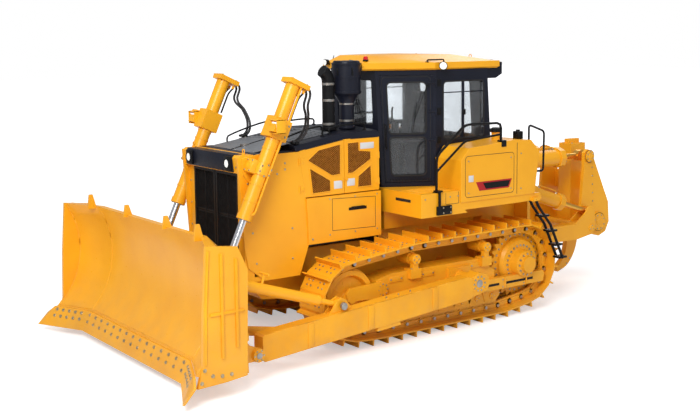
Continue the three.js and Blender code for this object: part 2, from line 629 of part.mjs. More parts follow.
// One grille door: a frame, with slats that stand in front of a thin backing.
function buildGrilleDoor() {
  const [y0, y1] = [8, GRILLE_HALF];
  const [x0, x1] = [NOSE_FRONT - 20 - GRILLE_THICK, NOSE_FRONT - 20];
  const rim = 42;
  const frame = frontPlate(
    [[y0, GRILLE_BOTTOM], [y1, GRILLE_BOTTOM], [y1, GRILLE_TOP], [y0, GRILLE_TOP]], x0, x1,
    [[[y0 + rim, GRILLE_BOTTOM + rim], [y0 + rim, GRILLE_TOP - rim], [y1 - rim, GRILLE_TOP - rim],
      [y1 - rim, GRILLE_BOTTOM + rim]]]);
  const mesh = box(x0 + 12, x0 + 20, y0 + rim - 4, y1 - rim + 4, GRILLE_BOTTOM + rim - 4, GRILLE_TOP - rim + 4);
  return join(frame, mesh);
}

// ---------------------------------------------------------------- hood, engine doors, engine, stacks
function hoodEdgeZ(x) {
  const share = (x - HOOD_KINK) / (NOSE_BACK + 60 - HOOD_KINK);
  return HOOD_REAR_Z + (HOOD_FRONT_Z - HOOD_REAR_Z) * Math.max(share, 0);
}

const WALL_HALF = NOSE_HALF - SKIN - GAP;

function buildHood() {
  const front = NOSE_FRONT - 172;
  const section = (x) => {
    const z = x > NOSE_BACK ? Math.max(hoodEdgeZ(NOSE_BACK + 60), NOSE_TOP - 60) : hoodEdgeZ(x);
    const shoulder = Math.min(z + HOOD_THICK, x > NOSE_BACK + 200 ? NOSE_TOP - 5 : 9e9);
    return [[x, -NOSE_HALF + 2, z], [x, -NOSE_HALF + 40, shoulder - 12], [x, -NOSE_HALF + 90, shoulder],
      [x, 0, shoulder + HOOD_CROWN], [x, NOSE_HALF - 90, shoulder], [x, NOSE_HALF - 40, shoulder - 12],
      [x, NOSE_HALF - 2, z], [x, NOSE_HALF - 60, z + 2], [x, 0, z + 6], [x, -NOSE_HALF + 60, z + 2]];
  };
  const roof = hull(section(HOOD_REAR).concat(section(HOOD_KINK)));
  const slope = hull(section(HOOD_KINK).concat(section(NOSE_BACK + 40)));
  const nose = box(NOSE_BACK + 20, front, -WALL_HALF, WALL_HALF, NOSE_TOP - 60, NOSE_TOP + 4);
  const firewall = frontPlate(
    [[-WALL_HALF, ENGINE_BED_Z + GAP], [WALL_HALF, ENGINE_BED_Z + GAP], [WALL_HALF, HOOD_REAR_Z + 20],
      [-WALL_HALF, HOOD_REAR_Z + 20]], HOOD_REAR + 2, HOOD_REAR + FIREWALL);
  return join(roof, slope, nose, firewall);
}

// The doors' upper edges follow the hood's edge. Each has two windows of woven mesh.
function engineDoor(rearX, frontX) {
  const top = (x) => hoodEdgeZ(x) - RUN;
  const z = DOOR_SILL_Z;
  const headX = frontX(top(frontX(HOOD_FRONT_Z)));
  return sidePlate([[rearX, z], [frontX(z), z], [headX, top(headX)], [rearX, top(rearX)]],
    NOSE_HALF - SKIN, NOSE_HALF);
}

const MID_SEAM = 4; // half the gap between the two doors of a side
const REAR_DOOR_X = HOOD_REAR + 6;

function buildEngine() {
  const block = box(950, 1960, -400, 400, ENGINE_BED_Z + GAP, 2330);
  const sump = box(1100, 1880, -260, 260, 2330 - 1, 2480);
  return join(block, sump);
}

const STACK = [1375, 420];
const STACK_R = 86;
const CLEANER = [1064, 412];

const hoodTopAt = (y) => HOOD_REAR_Z + HOOD_THICK
  + (HOOD_CROWN * (NOSE_HALF - 90 - Math.abs(y))) / (NOSE_HALF - 90);

function buildExhaust() {
  const [x, y] = STACK;
  const foot = hoodTopAt(y - STACK_R - 30) + GAP;
  const bend = [0, 0.35, 0.7, 1].map((t) => new THREE.Vector3(
    x + 150 * (1 - Math.cos(t * 1.25)), y, 3460 + 170 * Math.sin(t * 1.25)));
  const pipe = sweep([new THREE.Vector3(x, y, foot + 10), ...bend], STACK_R, 14);
  const collar = roundBar([x, y, foot], [x, y, foot + 45], STACK_R + 28, 20);
  return join(pipe, collar);
}

function buildPrecleaner() {
  const [x, y] = CLEANER;
  const foot = hoodTopAt(y - 130) + GAP;
  const profile = [[0, foot], [118, foot], [118, foot + 30], [98, foot + 40], [98, 3160], [150, 3260],
    [198, 3300], [200, 3690], [176, 3745], [0, 3750]];
  return new THREE.LatheGeometry(profile.map(([r, z]) => new THREE.Vector2(r, z)), 20)
    .rotateX(Math.PI / 2).translate(x, y, 0);
}

// ---------------------------------------------------------------- cab
const slant = THREE.MathUtils.degToRad(DOOR_SLANT);
// A point on the slanting wall: distance from the hinge along it, and depth behind its outer face.
const onSlant = (along, depth = 0) => [
  HINGE_X + along * Math.cos(slant) - depth * Math.sin(slant),
  CAB_SIDE - along * Math.sin(slant) - depth * Math.cos(slant)];

function cabRing(z, inset) {
  const share = (z - CAB_FLOOR) / (CAB_TOP - CAB_FLOOR);
  const reach = DOOR_FOOT + (DOOR_HEAD - DOOR_FOOT) * share;
  const rear = CAB_REAR_FOOT + (CAB_REAR_HEAD - CAB_REAR_FOOT) * share + inset;
  const [fx, fy] = onSlant(reach - inset * 0.55, inset);
  const [mx, my] = onSlant(inset * 0.25, inset);
  const half = [[fx, fy, z], [mx, Math.min(my, CAB_SIDE - inset), z], [rear, CAB_SIDE - inset, z]];
  return [...half, ...half.map(([x, y]) => [x, -y, z])];
}

// A slab in the slanting wall's own plane: its outline is [along, z] pairs.
function onSlantPlate(points, depth0, depth1, holes = []) {
  const slab = new THREE.ExtrudeGeometry(outline(points, holes), { depth: depth1 - depth0, bevelEnabled: false });
  const [ox, oy] = onSlant(0, depth0);
  const turn = new THREE.Matrix4().makeBasis(
    new THREE.Vector3(Math.cos(slant), -Math.sin(slant), 0), new THREE.Vector3(0, 0, 1),
    new THREE.Vector3(-Math.sin(slant), -Math.cos(slant), 0));
  return slab.applyMatrix4(turn).translate(ox, oy, 0);
}

const doorReach = (z) => DOOR_FOOT + ((DOOR_HEAD - DOOR_FOOT) * (z - CAB_FLOOR)) / (CAB_TOP - CAB_FLOOR);

const DOOR_EDGE = 45; // from the hinge line to the door's own edge

function doorOutline(inset, edge = DOOR_EDGE) {
  return [[edge, DOOR_BOTTOM + inset], [doorReach(DOOR_BOTTOM) - 62 - inset, DOOR_BOTTOM + inset],
    [doorReach(DOOR_TOP) - 62 - inset, DOOR_TOP - inset], [edge, DOOR_TOP - inset]];
}

function roundedRect(x0, x1, z0, z1, radius, lean = 0) {
  const path = new THREE.Path();
  const arcs = [[x1 - radius, z0 + radius, -90], [x1 + lean - radius, z1 - radius, 0],
    [x0 + radius, z1 - radius, 90], [x0 + radius, z0 + radius, 180]];
  arcs.forEach(([x, z, start]) => {
    const a = THREE.MathUtils.degToRad(start);
    path.absarc(x, z, radius, a, a + Math.PI / 2, false);
  });
  return path.getPoints(2).map((p) => [p.x, p.y]).filter((p, i, all) => {
    const next = all[(i + 1) % all.length];
    return Math.hypot(p[0] - next[0], p[1] - next[1]) > 0.5;
  });
}

// The glass fills its opening up to the seal.
const windowPane = (x0, x1, z0, z1, radius) => roundedRect(x0 + GAP, x1 - GAP, z0 + GAP, z1 - GAP, radius - GAP);
const screenHalf = () => onSlant(DOOR_HEAD)[1] - 100;
const REAR_WINDOW_HALF = 600;
const SIDE_WINDOW = [-1000, -235];
const WINDSCREEN_SILL = 2840;

function buildCab() {
  const shell = hull([...cabRing(CAB_FLOOR, 0), ...cabRing(CAB_TOP, 0)]);
  const room = hull([...cabRing(CAB_FLOOR + 45, CAB_WALL), ...cabRing(CAB_TOP + 20, CAB_WALL)]);
  const doorway = onSlantPlate(doorOutline(-5, DOOR_EDGE - GAP), -60, CAB_WALL + 60);
  const side = sidePlate(roundedRect(...SIDE_WINDOW, WINDOW_SILL, WINDOW_HEAD, 60), CAB_SIDE - 150, CAB_SIDE + 60);
  const rear = frontPlate(roundedRect(-REAR_WINDOW_HALF, REAR_WINDOW_HALF, WINDOW_SILL, WINDOW_HEAD, 60),
    CAB_REAR_FOOT - 60, CAB_REAR_HEAD + 130);
  const [fx] = onSlant(DOOR_HEAD);
  const front = frontPlate(roundedRect(-screenHalf(), screenHalf(), WINDSCREEN_SILL, WINDOW_HEAD + 40, 40),
    fx - 320, fx + 60);
  const body = cut(shell, room, doorway, mirrored(doorway), side, mirrored(side), rear, front);
  const dash = sidePlate([[250, CAB_FLOOR + 20], [250, 2560], [330, 2740], [470, 2760], [470, CAB_FLOOR + 20]],
    -300, 300);
  const boxes = (s) => box(-620, 60, s * 300, s * 440, CAB_FLOOR + 20, 2560);
  const lampBox = sidePlate([
    [CAB_REAR_HEAD + 40, WINDOW_HEAD + 20], [-1300, WINDOW_HEAD + 20], [-1420, 3510], [-1420, 3680],
    [ROOF_REAR - 45, 3690], [ROOF_REAR - 45, CAB_TOP], [CAB_REAR_HEAD + 40, CAB_TOP]], -CAB_SIDE + 60, CAB_SIDE - 60);
  return join(body, dash, boxes(1), boxes(-1), cut(lampBox, room));
}

// The door's frame holds an upper and a lower pane. The glass is one sheet behind both openings.
const DOOR_SPLIT = 2690;

function buildCabDoor() {
  const lean = doorReach(DOOR_TOP) - doorReach(DOOR_BOTTOM);
  const upper = roundedRect(140, doorReach(DOOR_SPLIT) - 150, DOOR_SPLIT + 25, DOOR_TOP - 95, 60, lean * 0.45);
  const lower = roundedRect(140, doorReach(DOOR_BOTTOM) - 150, DOOR_BOTTOM + 95, DOOR_SPLIT - 25, 60, lean * 0.4);
  return onSlantPlate(doorOutline(0), 6, 6 + DOOR_THICK, [upper.slice().reverse(), lower.slice().reverse()]);
}

function buildDoorGlass() {
  const outlinePoints = [[115, DOOR_BOTTOM + 70], [doorReach(DOOR_BOTTOM) - 125, DOOR_BOTTOM + 70],
    [doorReach(DOOR_TOP) - 125, DOOR_TOP - 70], [115, DOOR_TOP - 70]];
  return onSlantPlate(outlinePoints, 6 + DOOR_THICK + GAP, 6 + DOOR_THICK + GAP + GLASS);
}

function buildSideWindow() {
  const y = CAB_SIDE - 35;
  return sidePlate(windowPane(SIDE_WINDOW[0], SIDE_WINDOW[1], WINDOW_SILL, WINDOW_HEAD, 60), y, y + GLASS);
}

// A pane in the front or rear wall leans with it: xAt gives the wall's outer face at each height.
function leaningPane(points, xAt, inset) {
  const lean = (xAt(CAB_TOP) - xAt(CAB_FLOOR)) / (CAB_TOP - CAB_FLOOR);
  const shear = new THREE.Matrix4().set(1, 0, lean, xAt(0) - inset, 0, 1, 0, 0, 0, 0, 1, 0, 0, 0, 0, 1);
  return frontPlate(points, 0, GLASS).applyMatrix4(shear);
}

const cabShare = (z) => (z - CAB_FLOOR) / (CAB_TOP - CAB_FLOOR);

function buildWindscreen() {
  const half = screenHalf();
  const pane = windowPane(-half, half, WINDSCREEN_SILL, WINDOW_HEAD + 40, 40);
  return leaningPane(pane, (z) => onSlant(doorReach(z))[0], 40);
}

function buildRearWindow() {
  const xAt = (z) => CAB_REAR_FOOT + (CAB_REAR_HEAD - CAB_REAR_FOOT) * cabShare(z);
  return leaningPane(windowPane(-REAR_WINDOW_HALF, REAR_WINDOW_HALF, WINDOW_SILL, WINDOW_HEAD, 60), xAt, -30);
}

function buildRoof() {
  const z = CAB_TOP + GAP;
  const eave = (level, out) => {
    const half = [[840 + out, 470 + out * 0.6], [HINGE_X + 40, CAB_SIDE + 22 + out],
      [ROOF_REAR - out, CAB_SIDE + 12 + out]];
    return [...half, ...half.map(([x, y]) => [x, -y])].map(([x, y]) => [x, y, level]);
  };
  const slab = hull([...eave(z + 22, 0), ...eave(z + ROOF_THICK, 0), ...eave(z, -30)]);
  const top = (x, y) => [[x, y, z + ROOF_CROWN], [x, -y, z + ROOF_CROWN]];
  const crown = hull([...eave(z + ROOF_THICK - 1, -35), ...top(640, 330), ...top(0, 640), ...top(-620, 640)]);
  return join(slab, crown);
}

function buildSeat() {
  const pan = box(-560, -60, -245, 245, 2420, 2560);
  const back = sidePlate([[-560, 2480], [-430, 2500], [-520, 3120], [-640, 3110]], -230, 230);
  const head = box(-650, -555, -130, 130, 3090, 3250);
  const base = box(-500, -140, -200, 200, CAB_FLOOR + 45 + GAP, 2430);
  return join(pan, back, head, base);
}

// ---------------------------------------------------------------- fenders, tanks and access
function buildFender() {
  const deck = sidePlate([
    [STEP_FRONT, DECK_Z], [STEP_FRONT, STEP_Z], [TANK_FRONT + 6, STEP_Z], [TANK_FRONT + 6, TANK_SEAT - GAP],
    [-1600, TANK_SEAT - GAP], [-1640, TANK_SEAT - 90], [-1200, DECK_Z + 45], [-150, DECK_Z + 45], [-200, DECK_Z]],
  FENDER_IN, FENDER_OUT);
  const shelf = box(-1600, TANK_FRONT + 30, FENDER_IN, TANK_IN - 40, DECK_Z + 2, STEP_Z);
  const tread = box(...TREAD_X, ...TREAD_Y, STEP_Z - 20, STEP_Z + TREAD_THICK);
  return join(deck, shelf, tread);
}

function ladder() {
  const rail = (y) => bentBar([
    [-1470, y, TANK_SEAT - 60], [-1560, y, 1590], [-1800, y, 1310], [-2075, y, 770]], 17, 60);
  const rung = (x, z) => box(x - 90, x + 60, LADDER_IN - 6, LADDER_OUT + 6, z - 12, z + 12);
  const hanger = box(-1560, -1430, LADDER_IN - 15, LADDER_OUT + 20, TANK_SEAT - 110, TANK_SEAT - 60);
  return [rail(LADDER_IN), rail(LADDER_OUT), rung(-1680, 1450), rung(-1850, 1210), rung(-1965, 990), rung(-2060, 790),
    hanger];
}

const TANK_OUTLINE = [
  [TANK_FRONT, TANK_SEAT], [TANK_FRONT, 2380], [TANK_FRONT - 150, 2540], [-1030, 2600], [-1400, 2580],
  [-1565, 2410], [-1480, TANK_SEAT]];

function tankTopAt(x) {
  const [[ax, az], [bx, bz]] = [TANK_OUTLINE[2], TANK_OUTLINE[3]];
  return az + ((bz - az) * (x - ax)) / (bx - ax);
}

function buildTank() {
  const body = sidePlate(TANK_OUTLINE, TANK_IN, TANK_OUT);
  const neck = roundBar([-960, 1230, 2560], [-960, 1230, 2700], 62, 16);
  const cap = roundBar([-960, 1230, 2700], [-960, 1230, 2745], 84, 16);
  return join(body, neck, cap);
}

function buildHandrail() {
  const y = RAIL_Y;
  const outer = bentBar([
    [327, y, STEP_Z + GAP], [327, y, 2460], [-190, y, 2860], [-860, y, 2850],
    [-860, y, tankTopAt(-860 - RAIL_R) + GAP]], RAIL_R, 80);
  const lower = bentBar([[327, y, 2250], [-110, y, 2580], [-180, y, 2632], [-860, y, 2690]], RAIL_R - 3, 60);
  const foot = box(287, 367, y - 35, y + 35, STEP_Z + GAP, STEP_Z + 14);
  return join(outer, lower, foot);
}

// ---------------------------------------------------------------- blade and push arms
const BRACE_Y = ARM_IN + 75;
const BRACE_HEAD_HALF = 100;
const BRACE_HEEL_HALF = 38;
const BRACE_NECK_R = 36;
const BLADE_FOOT = [4090, 350];
const BLADE_LIP = [3930, BLADE_TOP];

// The curved face in X and Z, from its foot to its lip, moved forward by lead.
function bladeSection(lead, y) {
  const [ax, az] = BLADE_FOOT;
  const [bx, bz] = BLADE_LIP;
  const chord = Math.hypot(bx - ax, bz - az);
  const radius = (chord ** 2) / (8 * BLADE_HOLLOW) + BLADE_HOLLOW / 2;
  const half = Math.asin(chord / 2 / radius);
  const [nx, nz] = [(bz - az) / chord, -(bx - ax) / chord];
  const cx = (ax + bx) / 2 + nx * (radius - BLADE_HOLLOW);
  const cz = (az + bz) / 2 + nz * (radius - BLADE_HOLLOW);
  const middle = Math.atan2(-nz, -nx);
  const steps = 9;
  const face = Array.from({ length: steps + 1 }, (_, i) => {
    const a = middle + half - (2 * half * i) / steps;
    return [cx + radius * Math.cos(a) + lead, y, cz + radius * Math.sin(a)];
  });
  return [...face, [BLADE_LIP[0] - 85 + lead * 0.85, y, BLADE_TOP], [BLADE_BACK + lead * 0.2, y, 1480],
    [BLADE_BACK, y, 260], [BLADE_FOOT[0] - 160 + lead * 0.6, y, 240]];
}

function endPlate() {
  return sidePlate([
    [4190, BLADE_TOP + 8], [4240, 1100], [4262, 450], [4330, 200], [3960, 215], [3690, 244], [BLADE_BACK, 1475],
    [3790, 1752]], BLADE_HALF - 45, BLADE_HALF);
}

function bladeLugs() {
  const push = (y) => sidePlate([
    [BLADE_BACK + 20, 260], [3330, 262], [3262, 336], [3330, 420], [BLADE_BACK + 20, 560]], y - 16, y + 16);
  const [px, pz] = LIFT_PIN;
  const lift = (y) => sidePlate([
    [BLADE_BACK + 20, pz - 230], [px - 30, pz - 95], [px - 95, pz], [px - 30, pz + 95],
    [BLADE_BACK + 20, pz + 260]], y - 15, y + 15);
  const brace = (y) => sidePlate([
    [BLADE_BACK + 20, 1060], [3490, 1110], [3440, 1185], [3490, 1255], [BLADE_BACK + 20, 1330]], y - 14, y + 14);
  const clear = LIFT_EYE_HALF + 24;
  return [push(ARM_IN - 22), push(ARM_OUT + 22), lift(LIFT_Y - clear), lift(LIFT_Y + clear),
    brace(BRACE_Y - BRACE_HEAD_HALF - GAP - 14), brace(BRACE_Y + BRACE_HEAD_HALF + GAP + 14)];
}

function topLug(x, y, height) {
  return sidePlate([[x - 60, BLADE_TOP - 30], [x + 70, BLADE_TOP - 30], [x + 45, BLADE_TOP + height],
    [x - 5, BLADE_TOP + height]], y - 14, y + 14);
}

function buildBlade() {
  const skin = loft([
    bladeSection(WING_LEAD, -BLADE_HALF + 20), bladeSection(0, -FOLD_Y), bladeSection(0, FOLD_Y),
    bladeSection(WING_LEAD, BLADE_HALF - 20)]);
  const lugs = bladeLugs();
  const ends = [endPlate(), mirrored(endPlate())];
  const tops = [topLug(3900, 560, 130), topLug(3985, FOLD_Y + 70, 165)].flatMap((lug) => [lug, mirrored(lug)]);
  return join(skin, ...ends, ...lugs, ...lugs.map(mirrored), ...tops);
}

// The bolt-on edge: a straight middle and an end bit that turns out to each corner.
function buildCuttingEdge() {
  const section = (x, y, lean, top) => [
    [x + GAP, y, top], [x + 34, y, top], [x + lean + 34, y, EDGE_Z], [x + lean, y, EDGE_Z],
    [x + lean - 20, y, EDGE_Z + 14]];
  const foot = BLADE_FOOT[0];
  const middle = section(foot, FOLD_Y, 112, 352);
  const tip = section(foot + WING_LEAD, BLADE_HALF - 20, 140, 352);
  const horn = section(foot + WING_LEAD + 62, EDGE_TIP_HALF, 150, 250);
  const side = (points, s) => points.map(([x, y, z]) => [x, s * y, z]);
  return loft([side(horn, -1), side(tip, -1), side(middle, -1), middle, tip, horn]);
}

function buildPushArm() {
  const beam = sidePlate([
    [3215, 215], [3245, 250], [3245, 520], [3215, 545], [-60, 795], [-130, 760], [-130, 510], [-60, 478]],
  ARM_IN, ARM_OUT);
  const block = sidePlate([
    [-110, 770], [-250, 830], [-400, 790], [-450, 680], [-400, 570], [-250, 530], [-110, 500]],
  ARM_IN + BLOCK_INSET, ARM_OUT - BLOCK_INSET);
  const shackle = (y) => sidePlate([
    [1820, 560], [2280, 540], [2110, 780], [2040, 815], [1970, 780]], y - 14, y + 14);
  const stay = roundBar([2480, ARM_IN + 30, 420], [BLADE_BACK - 60, 470, 420], STAY_TOP_R, 14);
  const foot = box(BLADE_BACK - 105, BLADE_BACK - GAP, 400, 540, 350, 490);
  const heel = box(2380, 2620, ARM_IN - 60, ARM_IN + 10, 340, 500);
  const step = sidePlate([[1130, 330], [1520, 300], [1480, 420], [1180, 440]], ARM_IN + 40, ARM_OUT - 10);
  const cheek = BRACE_HEEL_HALF + GAP + 14;
  return join(beam, block, shackle(BRACE_Y - cheek), shackle(BRACE_Y + cheek), stay, foot, heel, step);
}

const BRACE_HEEL = [2040, 714];
const BRACE_HEAD = [3500, 1185];

// A point on the brace's own line, as x and z.
function alongBrace(distance) {
  const [ax, az] = BRACE_HEEL;
  const [bx, bz] = BRACE_HEAD;
  const length = Math.hypot(bx - ax, bz - az);
  return [ax + ((bx - ax) * distance) / length, az + ((bz - az) * distance) / length];
}

function braceBar(from, to, radius, sides = 16) {
  const [ax, az] = alongBrace(from);
  const [bx, bz] = alongBrace(to);
  return roundBar([ax, BRACE_Y, az], [bx, BRACE_Y, bz], radius, sides);
}

const BRACE_LENGTH = Math.hypot(BRACE_HEAD[0] - BRACE_HEEL[0], BRACE_HEAD[1] - BRACE_HEEL[1]);
const braceEye = ([x, z], half) => crossBar(x, z, BRACE_Y - half, BRACE_Y + half, 68, 16);
const braceEyes = () => [braceEye(BRACE_HEEL, BRACE_HEEL_HALF), braceEye(BRACE_HEAD, BRACE_HEAD_HALF)];

function buildBrace() {
  const handle = alongBrace(BRACE_LENGTH - 330);
  return join(...braceEyes(), braceBar(40, 330, BRACE_NECK_R), braceBar(330, BRACE_LENGTH - 50, 68),
    roundBar([handle[0], BRACE_Y, handle[1]], [handle[0] - 60, BRACE_Y, handle[1] + 175], 16, 8),
    roundBar([handle[0] - 60, BRACE_Y - 100, handle[1] + 175],
      [handle[0] - 60, BRACE_Y + 100, handle[1] + 175], 16, 8));
}

function buildTiltCylinder() {
  const body = join(...braceEyes(), braceBar(40, 430, BRACE_NECK_R), braceBar(430, BRACE_LENGTH - 50, 88, 20),
    braceBar(415, 470, 98, 20));
  return mirrored(body);
}

// ---------------------------------------------------------------- lift cylinders
const LIFT_AIM = new THREE.Vector3(LIFT_PIN[0] - TRUNNION_X, 0, LIFT_PIN[1] - TRUNNION_Z);
const LIFT_REST = LIFT_AIM.length();
LIFT_AIM.normalize();
const onLift = (distance, y = LIFT_Y) => [
  TRUNNION_X + LIFT_AIM.x * distance, y, TRUNNION_Z + LIFT_AIM.z * distance];

// A block whose sides follow the cylinder: outline is [along, across] pairs, across being forward.
function liftBlock(points, y0, y1) {
  const turned2d = points.map(([a, c]) => [
    TRUNNION_X + LIFT_AIM.x * a - LIFT_AIM.z * c, TRUNNION_Z + LIFT_AIM.z * a + LIFT_AIM.x * c]);
  return sidePlate(turned2d, y0, y1);
}

function buildLiftBarrel() {
  const bore = roundBar(onLift(LIFT_BORE_TOP), onLift(LIFT_BARREL_DOWN + 2), LIFT_ROD_R + BORE_GAP, 16);
  const tube = roundBar(onLift(-LIFT_BARREL_UP), onLift(LIFT_BARREL_DOWN), LIFT_BARREL_R, 16);
  const gland = roundBar(onLift(LIFT_BARREL_DOWN - 70), onLift(LIFT_BARREL_DOWN), LIFT_BARREL_R + 10, 16);
  const band = roundBar(onLift(-75), onLift(75), LIFT_BARREL_R + 16, 16);
  const pin = crossBar(TRUNNION_X, TRUNNION_Z, NOSE_HALF + 22 + GAP, LIFT_Y, 66, 20);
  const cap = liftBlock([[-LIFT_BARREL_UP - 55, -190], [-LIFT_BARREL_UP - 55, 120], [-LIFT_BARREL_UP + 10, 120],
    [-LIFT_BARREL_UP + 10, -190]], LIFT_Y - LIFT_BLOCK_HALF, LIFT_Y + LIFT_BLOCK_HALF);
  const lampBand = liftBlock([[-690, -125], [-690, 135], [-420, 135], [-420, -125]], LIFT_Y - LIFT_BARREL_R - 16, LIFT_Y + LIFT_BARREL_R + 16);
  const lampArm = liftBlock([[-650, 60], [-650, 175], [-470, 175], [-470, 60]], LIFT_Y + LIFT_BARREL_R + 8, LIFT_Y + LIFT_BARREL_R + 143);
  const oilPipe = sweep([onLift(-LIFT_BARREL_UP - 20), onLift(-680)].map(([x, , z]) =>
    new THREE.Vector3(x - 78, LIFT_Y + 78, z - 30)), 17, 8);
  const lowPipe = bentBar([[...onLift(-430)], [...onLift(560)], [...onLift(600)]].map(([x, , z], i) =>
    (i < 2 ? [x - 62, LIFT_Y + 92, z - 24] : [x - 20, LIFT_Y + 60, z - 8])), 17, 40);
  return cut(join(tube, gland, band, pin, cap, lampBand, lampArm, oilPipe, lowPipe), bore);
}

function buildLiftRod() {
  const bar = roundBar(onLift(LIFT_ROD_TOP), onLift(LIFT_REST - 40), LIFT_ROD_R, 16);
  const eye = crossBar(LIFT_PIN[0], LIFT_PIN[1], LIFT_Y - LIFT_EYE_HALF, LIFT_Y + LIFT_EYE_HALF, LIFT_EYE_R, 16);
  return join(bar, eye);
}

// Two hoses from beside the cylinder's cap down and back to the hood, held by one clamp. They keep
// inboard of the barrel, which swings past them.
const HOSE_R = 17;
const HOSE_APART = 24;
const HOSE_END_X = 2080;
const HOSE_Y = LIFT_Y - LIFT_BLOCK_HALF - 28;
const HOSE_CLAMP_Y = NOSE_HALF - 96;

function buildLiftHoses() {
  const [x, , z] = onLift(-LIFT_BARREL_UP + 42);
  const seat = hoodEdgeZ(HOSE_END_X - 35) + HOOD_THICK + GAP;
  const hose = (s) => {
    const spot = (back, down, y) => new THREE.Vector3(x - back + s * HOSE_APART, y, z - down);
    const end = HOSE_CLAMP_Y + s * 34;
    return sweep(new THREE.CatmullRomCurve3([
      spot(60, -10, HOSE_Y), spot(150, 180, HOSE_Y), spot(262, 400, HOSE_Y), spot(320, 570, HOSE_Y - 12),
      new THREE.Vector3(HOSE_END_X - 30, end + 30, seat + 70), new THREE.Vector3(HOSE_END_X, end, seat + 14),
    ], false, 'catmullrom', 0.5).getPoints(10), HOSE_R, 8);
  };
  const clamp = box(HOSE_END_X - 30, HOSE_END_X + 30, HOSE_CLAMP_Y - 66, HOSE_CLAMP_Y + 66, seat, seat + 30);
  return join(hose(1), hose(-1), clamp);
}

// ---------------------------------------------------------------- ripper
function eyeLine(from, to) {
  const aim = new THREE.Vector3(to[0] - from[0], 0, to[1] - from[1]);
  const length = aim.length();
  aim.normalize();
  const spot = (distance, y) => [from[0] + aim.x * distance, y, from[1] + aim.z * distance];
  return { length, spot };
}

const PITCH_LINE = eyeLine(RIP_HIGH, RIP_HEAD);
const LIFTER_LINE = eyeLine(RIP_LIFT_LOW, RIP_LIFT_EYE);

// Two barrels that swing on one shaft, which reaches out to the bracket's plates.
function barrelPair(line, pin, y, radius, length, reach) {
  const one = (s) => {
    const tube = join(roundBar(line.spot(75, s * y), line.spot(length - 90, s * y), radius, 16),
      roundBar(line.spot(length - 110, s * y), line.spot(length, s * y), radius * 1.25, 8),
      crossBar(...pin, s * (y - 62), s * (y + 62), 92, 16));
    const bore = roundBar(line.spot(RIP_BORE_IN, s * y), line.spot(length + 2, s * y), RIP_ROD_R + BORE_GAP, 16);
    return cut(tube, bore);
  };
  return join(one(1), one(-1), crossBar(...pin, -reach, reach, RIP_PIN_R, 16));
}

function rodPiece(line, y, inner, eye, eyeRadius) {
  return join(roundBar(line.spot(inner, y), line.spot(line.length - 40, y), RIP_ROD_R, 16),
    crossBar(...eye, y - 55, y + 55, eyeRadius, 16));
}

// The plates on the tractor's rear face, with a hole where a shaft passes through.
function buildRipperBracket() {
  const faceX = HULL_REAR - 60;
  const face = box(faceX, HULL_REAR - GAP, -660, 660, 700, 2260);
  const cheek = sidePlate([
    [faceX + 20, 740], [RIP_LOW[0] - 60, 800], [RIP_LOW[0] - 115, RIP_LOW[1]], [RIP_LOW[0] - 70, 1130],
    [RIP_LIFT_LOW[0] - 60, 1500], [RIP_LIFT_LOW[0] - 105, RIP_LIFT_LOW[1]], [RIP_HIGH[0] - 60, 1890],
    [RIP_HIGH[0] - 110, RIP_HIGH[1]], [RIP_HIGH[0] - 40, RIP_HIGH[1] + 110], [faceX + 20, 2240]],
  RIP_CHEEK_IN, RIP_CHEEK_OUT);
  const lug = (pin, reach) => sidePlate([
    [faceX + 20, pin[1] - 170], [pin[0] - 20, pin[1] - reach], [pin[0] - reach, pin[1]],
    [pin[0] - 20, pin[1] + reach], [faceX + 20, pin[1] + 170]], RIP_LUG_IN, RIP_LUG_OUT);
  const outer = [lug(RIP_LOW, 110), lug(RIP_LIFT_LOW, 105)];
  const wide = box(faceX, HULL_REAR - GAP, -RIP_LUG_OUT, RIP_LUG_OUT, 740, 1840);
  const shaftHole = crossBar(...RIP_LIFT_LOW, -RIP_CHEEK_OUT - 10, RIP_CHEEK_OUT + 10, RIP_PIN_R + 3, 16);
  return cut(join(face, wide, cheek, mirrored(cheek), ...outer, ...outer.map(mirrored)), shaftHole);
}

function buildRipperLowerFrame() {
  const [ax, az] = RIP_LOW;
  const [ex, ez] = RIP_LIFT_EYE;
  const [hx, hz] = RIP_HEEL;
  const arm = sidePlate([
    [ax + 70, az + 60], [ax, az + 95], [ax - 300, az + 105], [ex + 350, az + 105], [ex + 120, ez],
    [ex + 50, ez + 100], [ex - 50, ez + 100], [ex - 100, ez], [hx - 85, hz + 60], [hx - 95, hz - 30],
    [hx - 30, hz - 100], [ex + 300, az - 150], [ax - 200, az - 140], [ax + 20, az - 95], [ax + 75, az - 30]],
  RIP_ARM_IN, RIP_ARM_OUT);
  const slot = box(ex - 200, ex + 340, RIP_LIFT_Y - 66, RIP_LIFT_Y + 66, ez - 140, ez + 300);
  const boss = crossBar(...RIP_LOW, RIP_CHEEK_OUT + GAP, RIP_LUG_IN - GAP, 78, 16);
  const beam = box(ex + 480, ex + 1040, -RIP_ARM_IN - 5, RIP_ARM_IN + 5, az - 110, az + 60);
  const left = join(cut(arm, slot), boss);
  return join(left, mirrored(left), beam);
}

// The shaft through the heels, which the carriage turns on.
function buildHingeShaft() {
  const reach = RIP_ARM_IN - GAP;
  const bar = crossBar(...RIP_HEEL, -reach, reach, HEEL_SHAFT_R, 24);
  const collar = crossBar(...RIP_HEEL, RIP_PLATE_OUT + 3, reach, 80, 16);
  return join(bar, collar, mirrored(collar));
}

const SHANK_FRONT = -3745;
const SHANK_BACK = -4000;

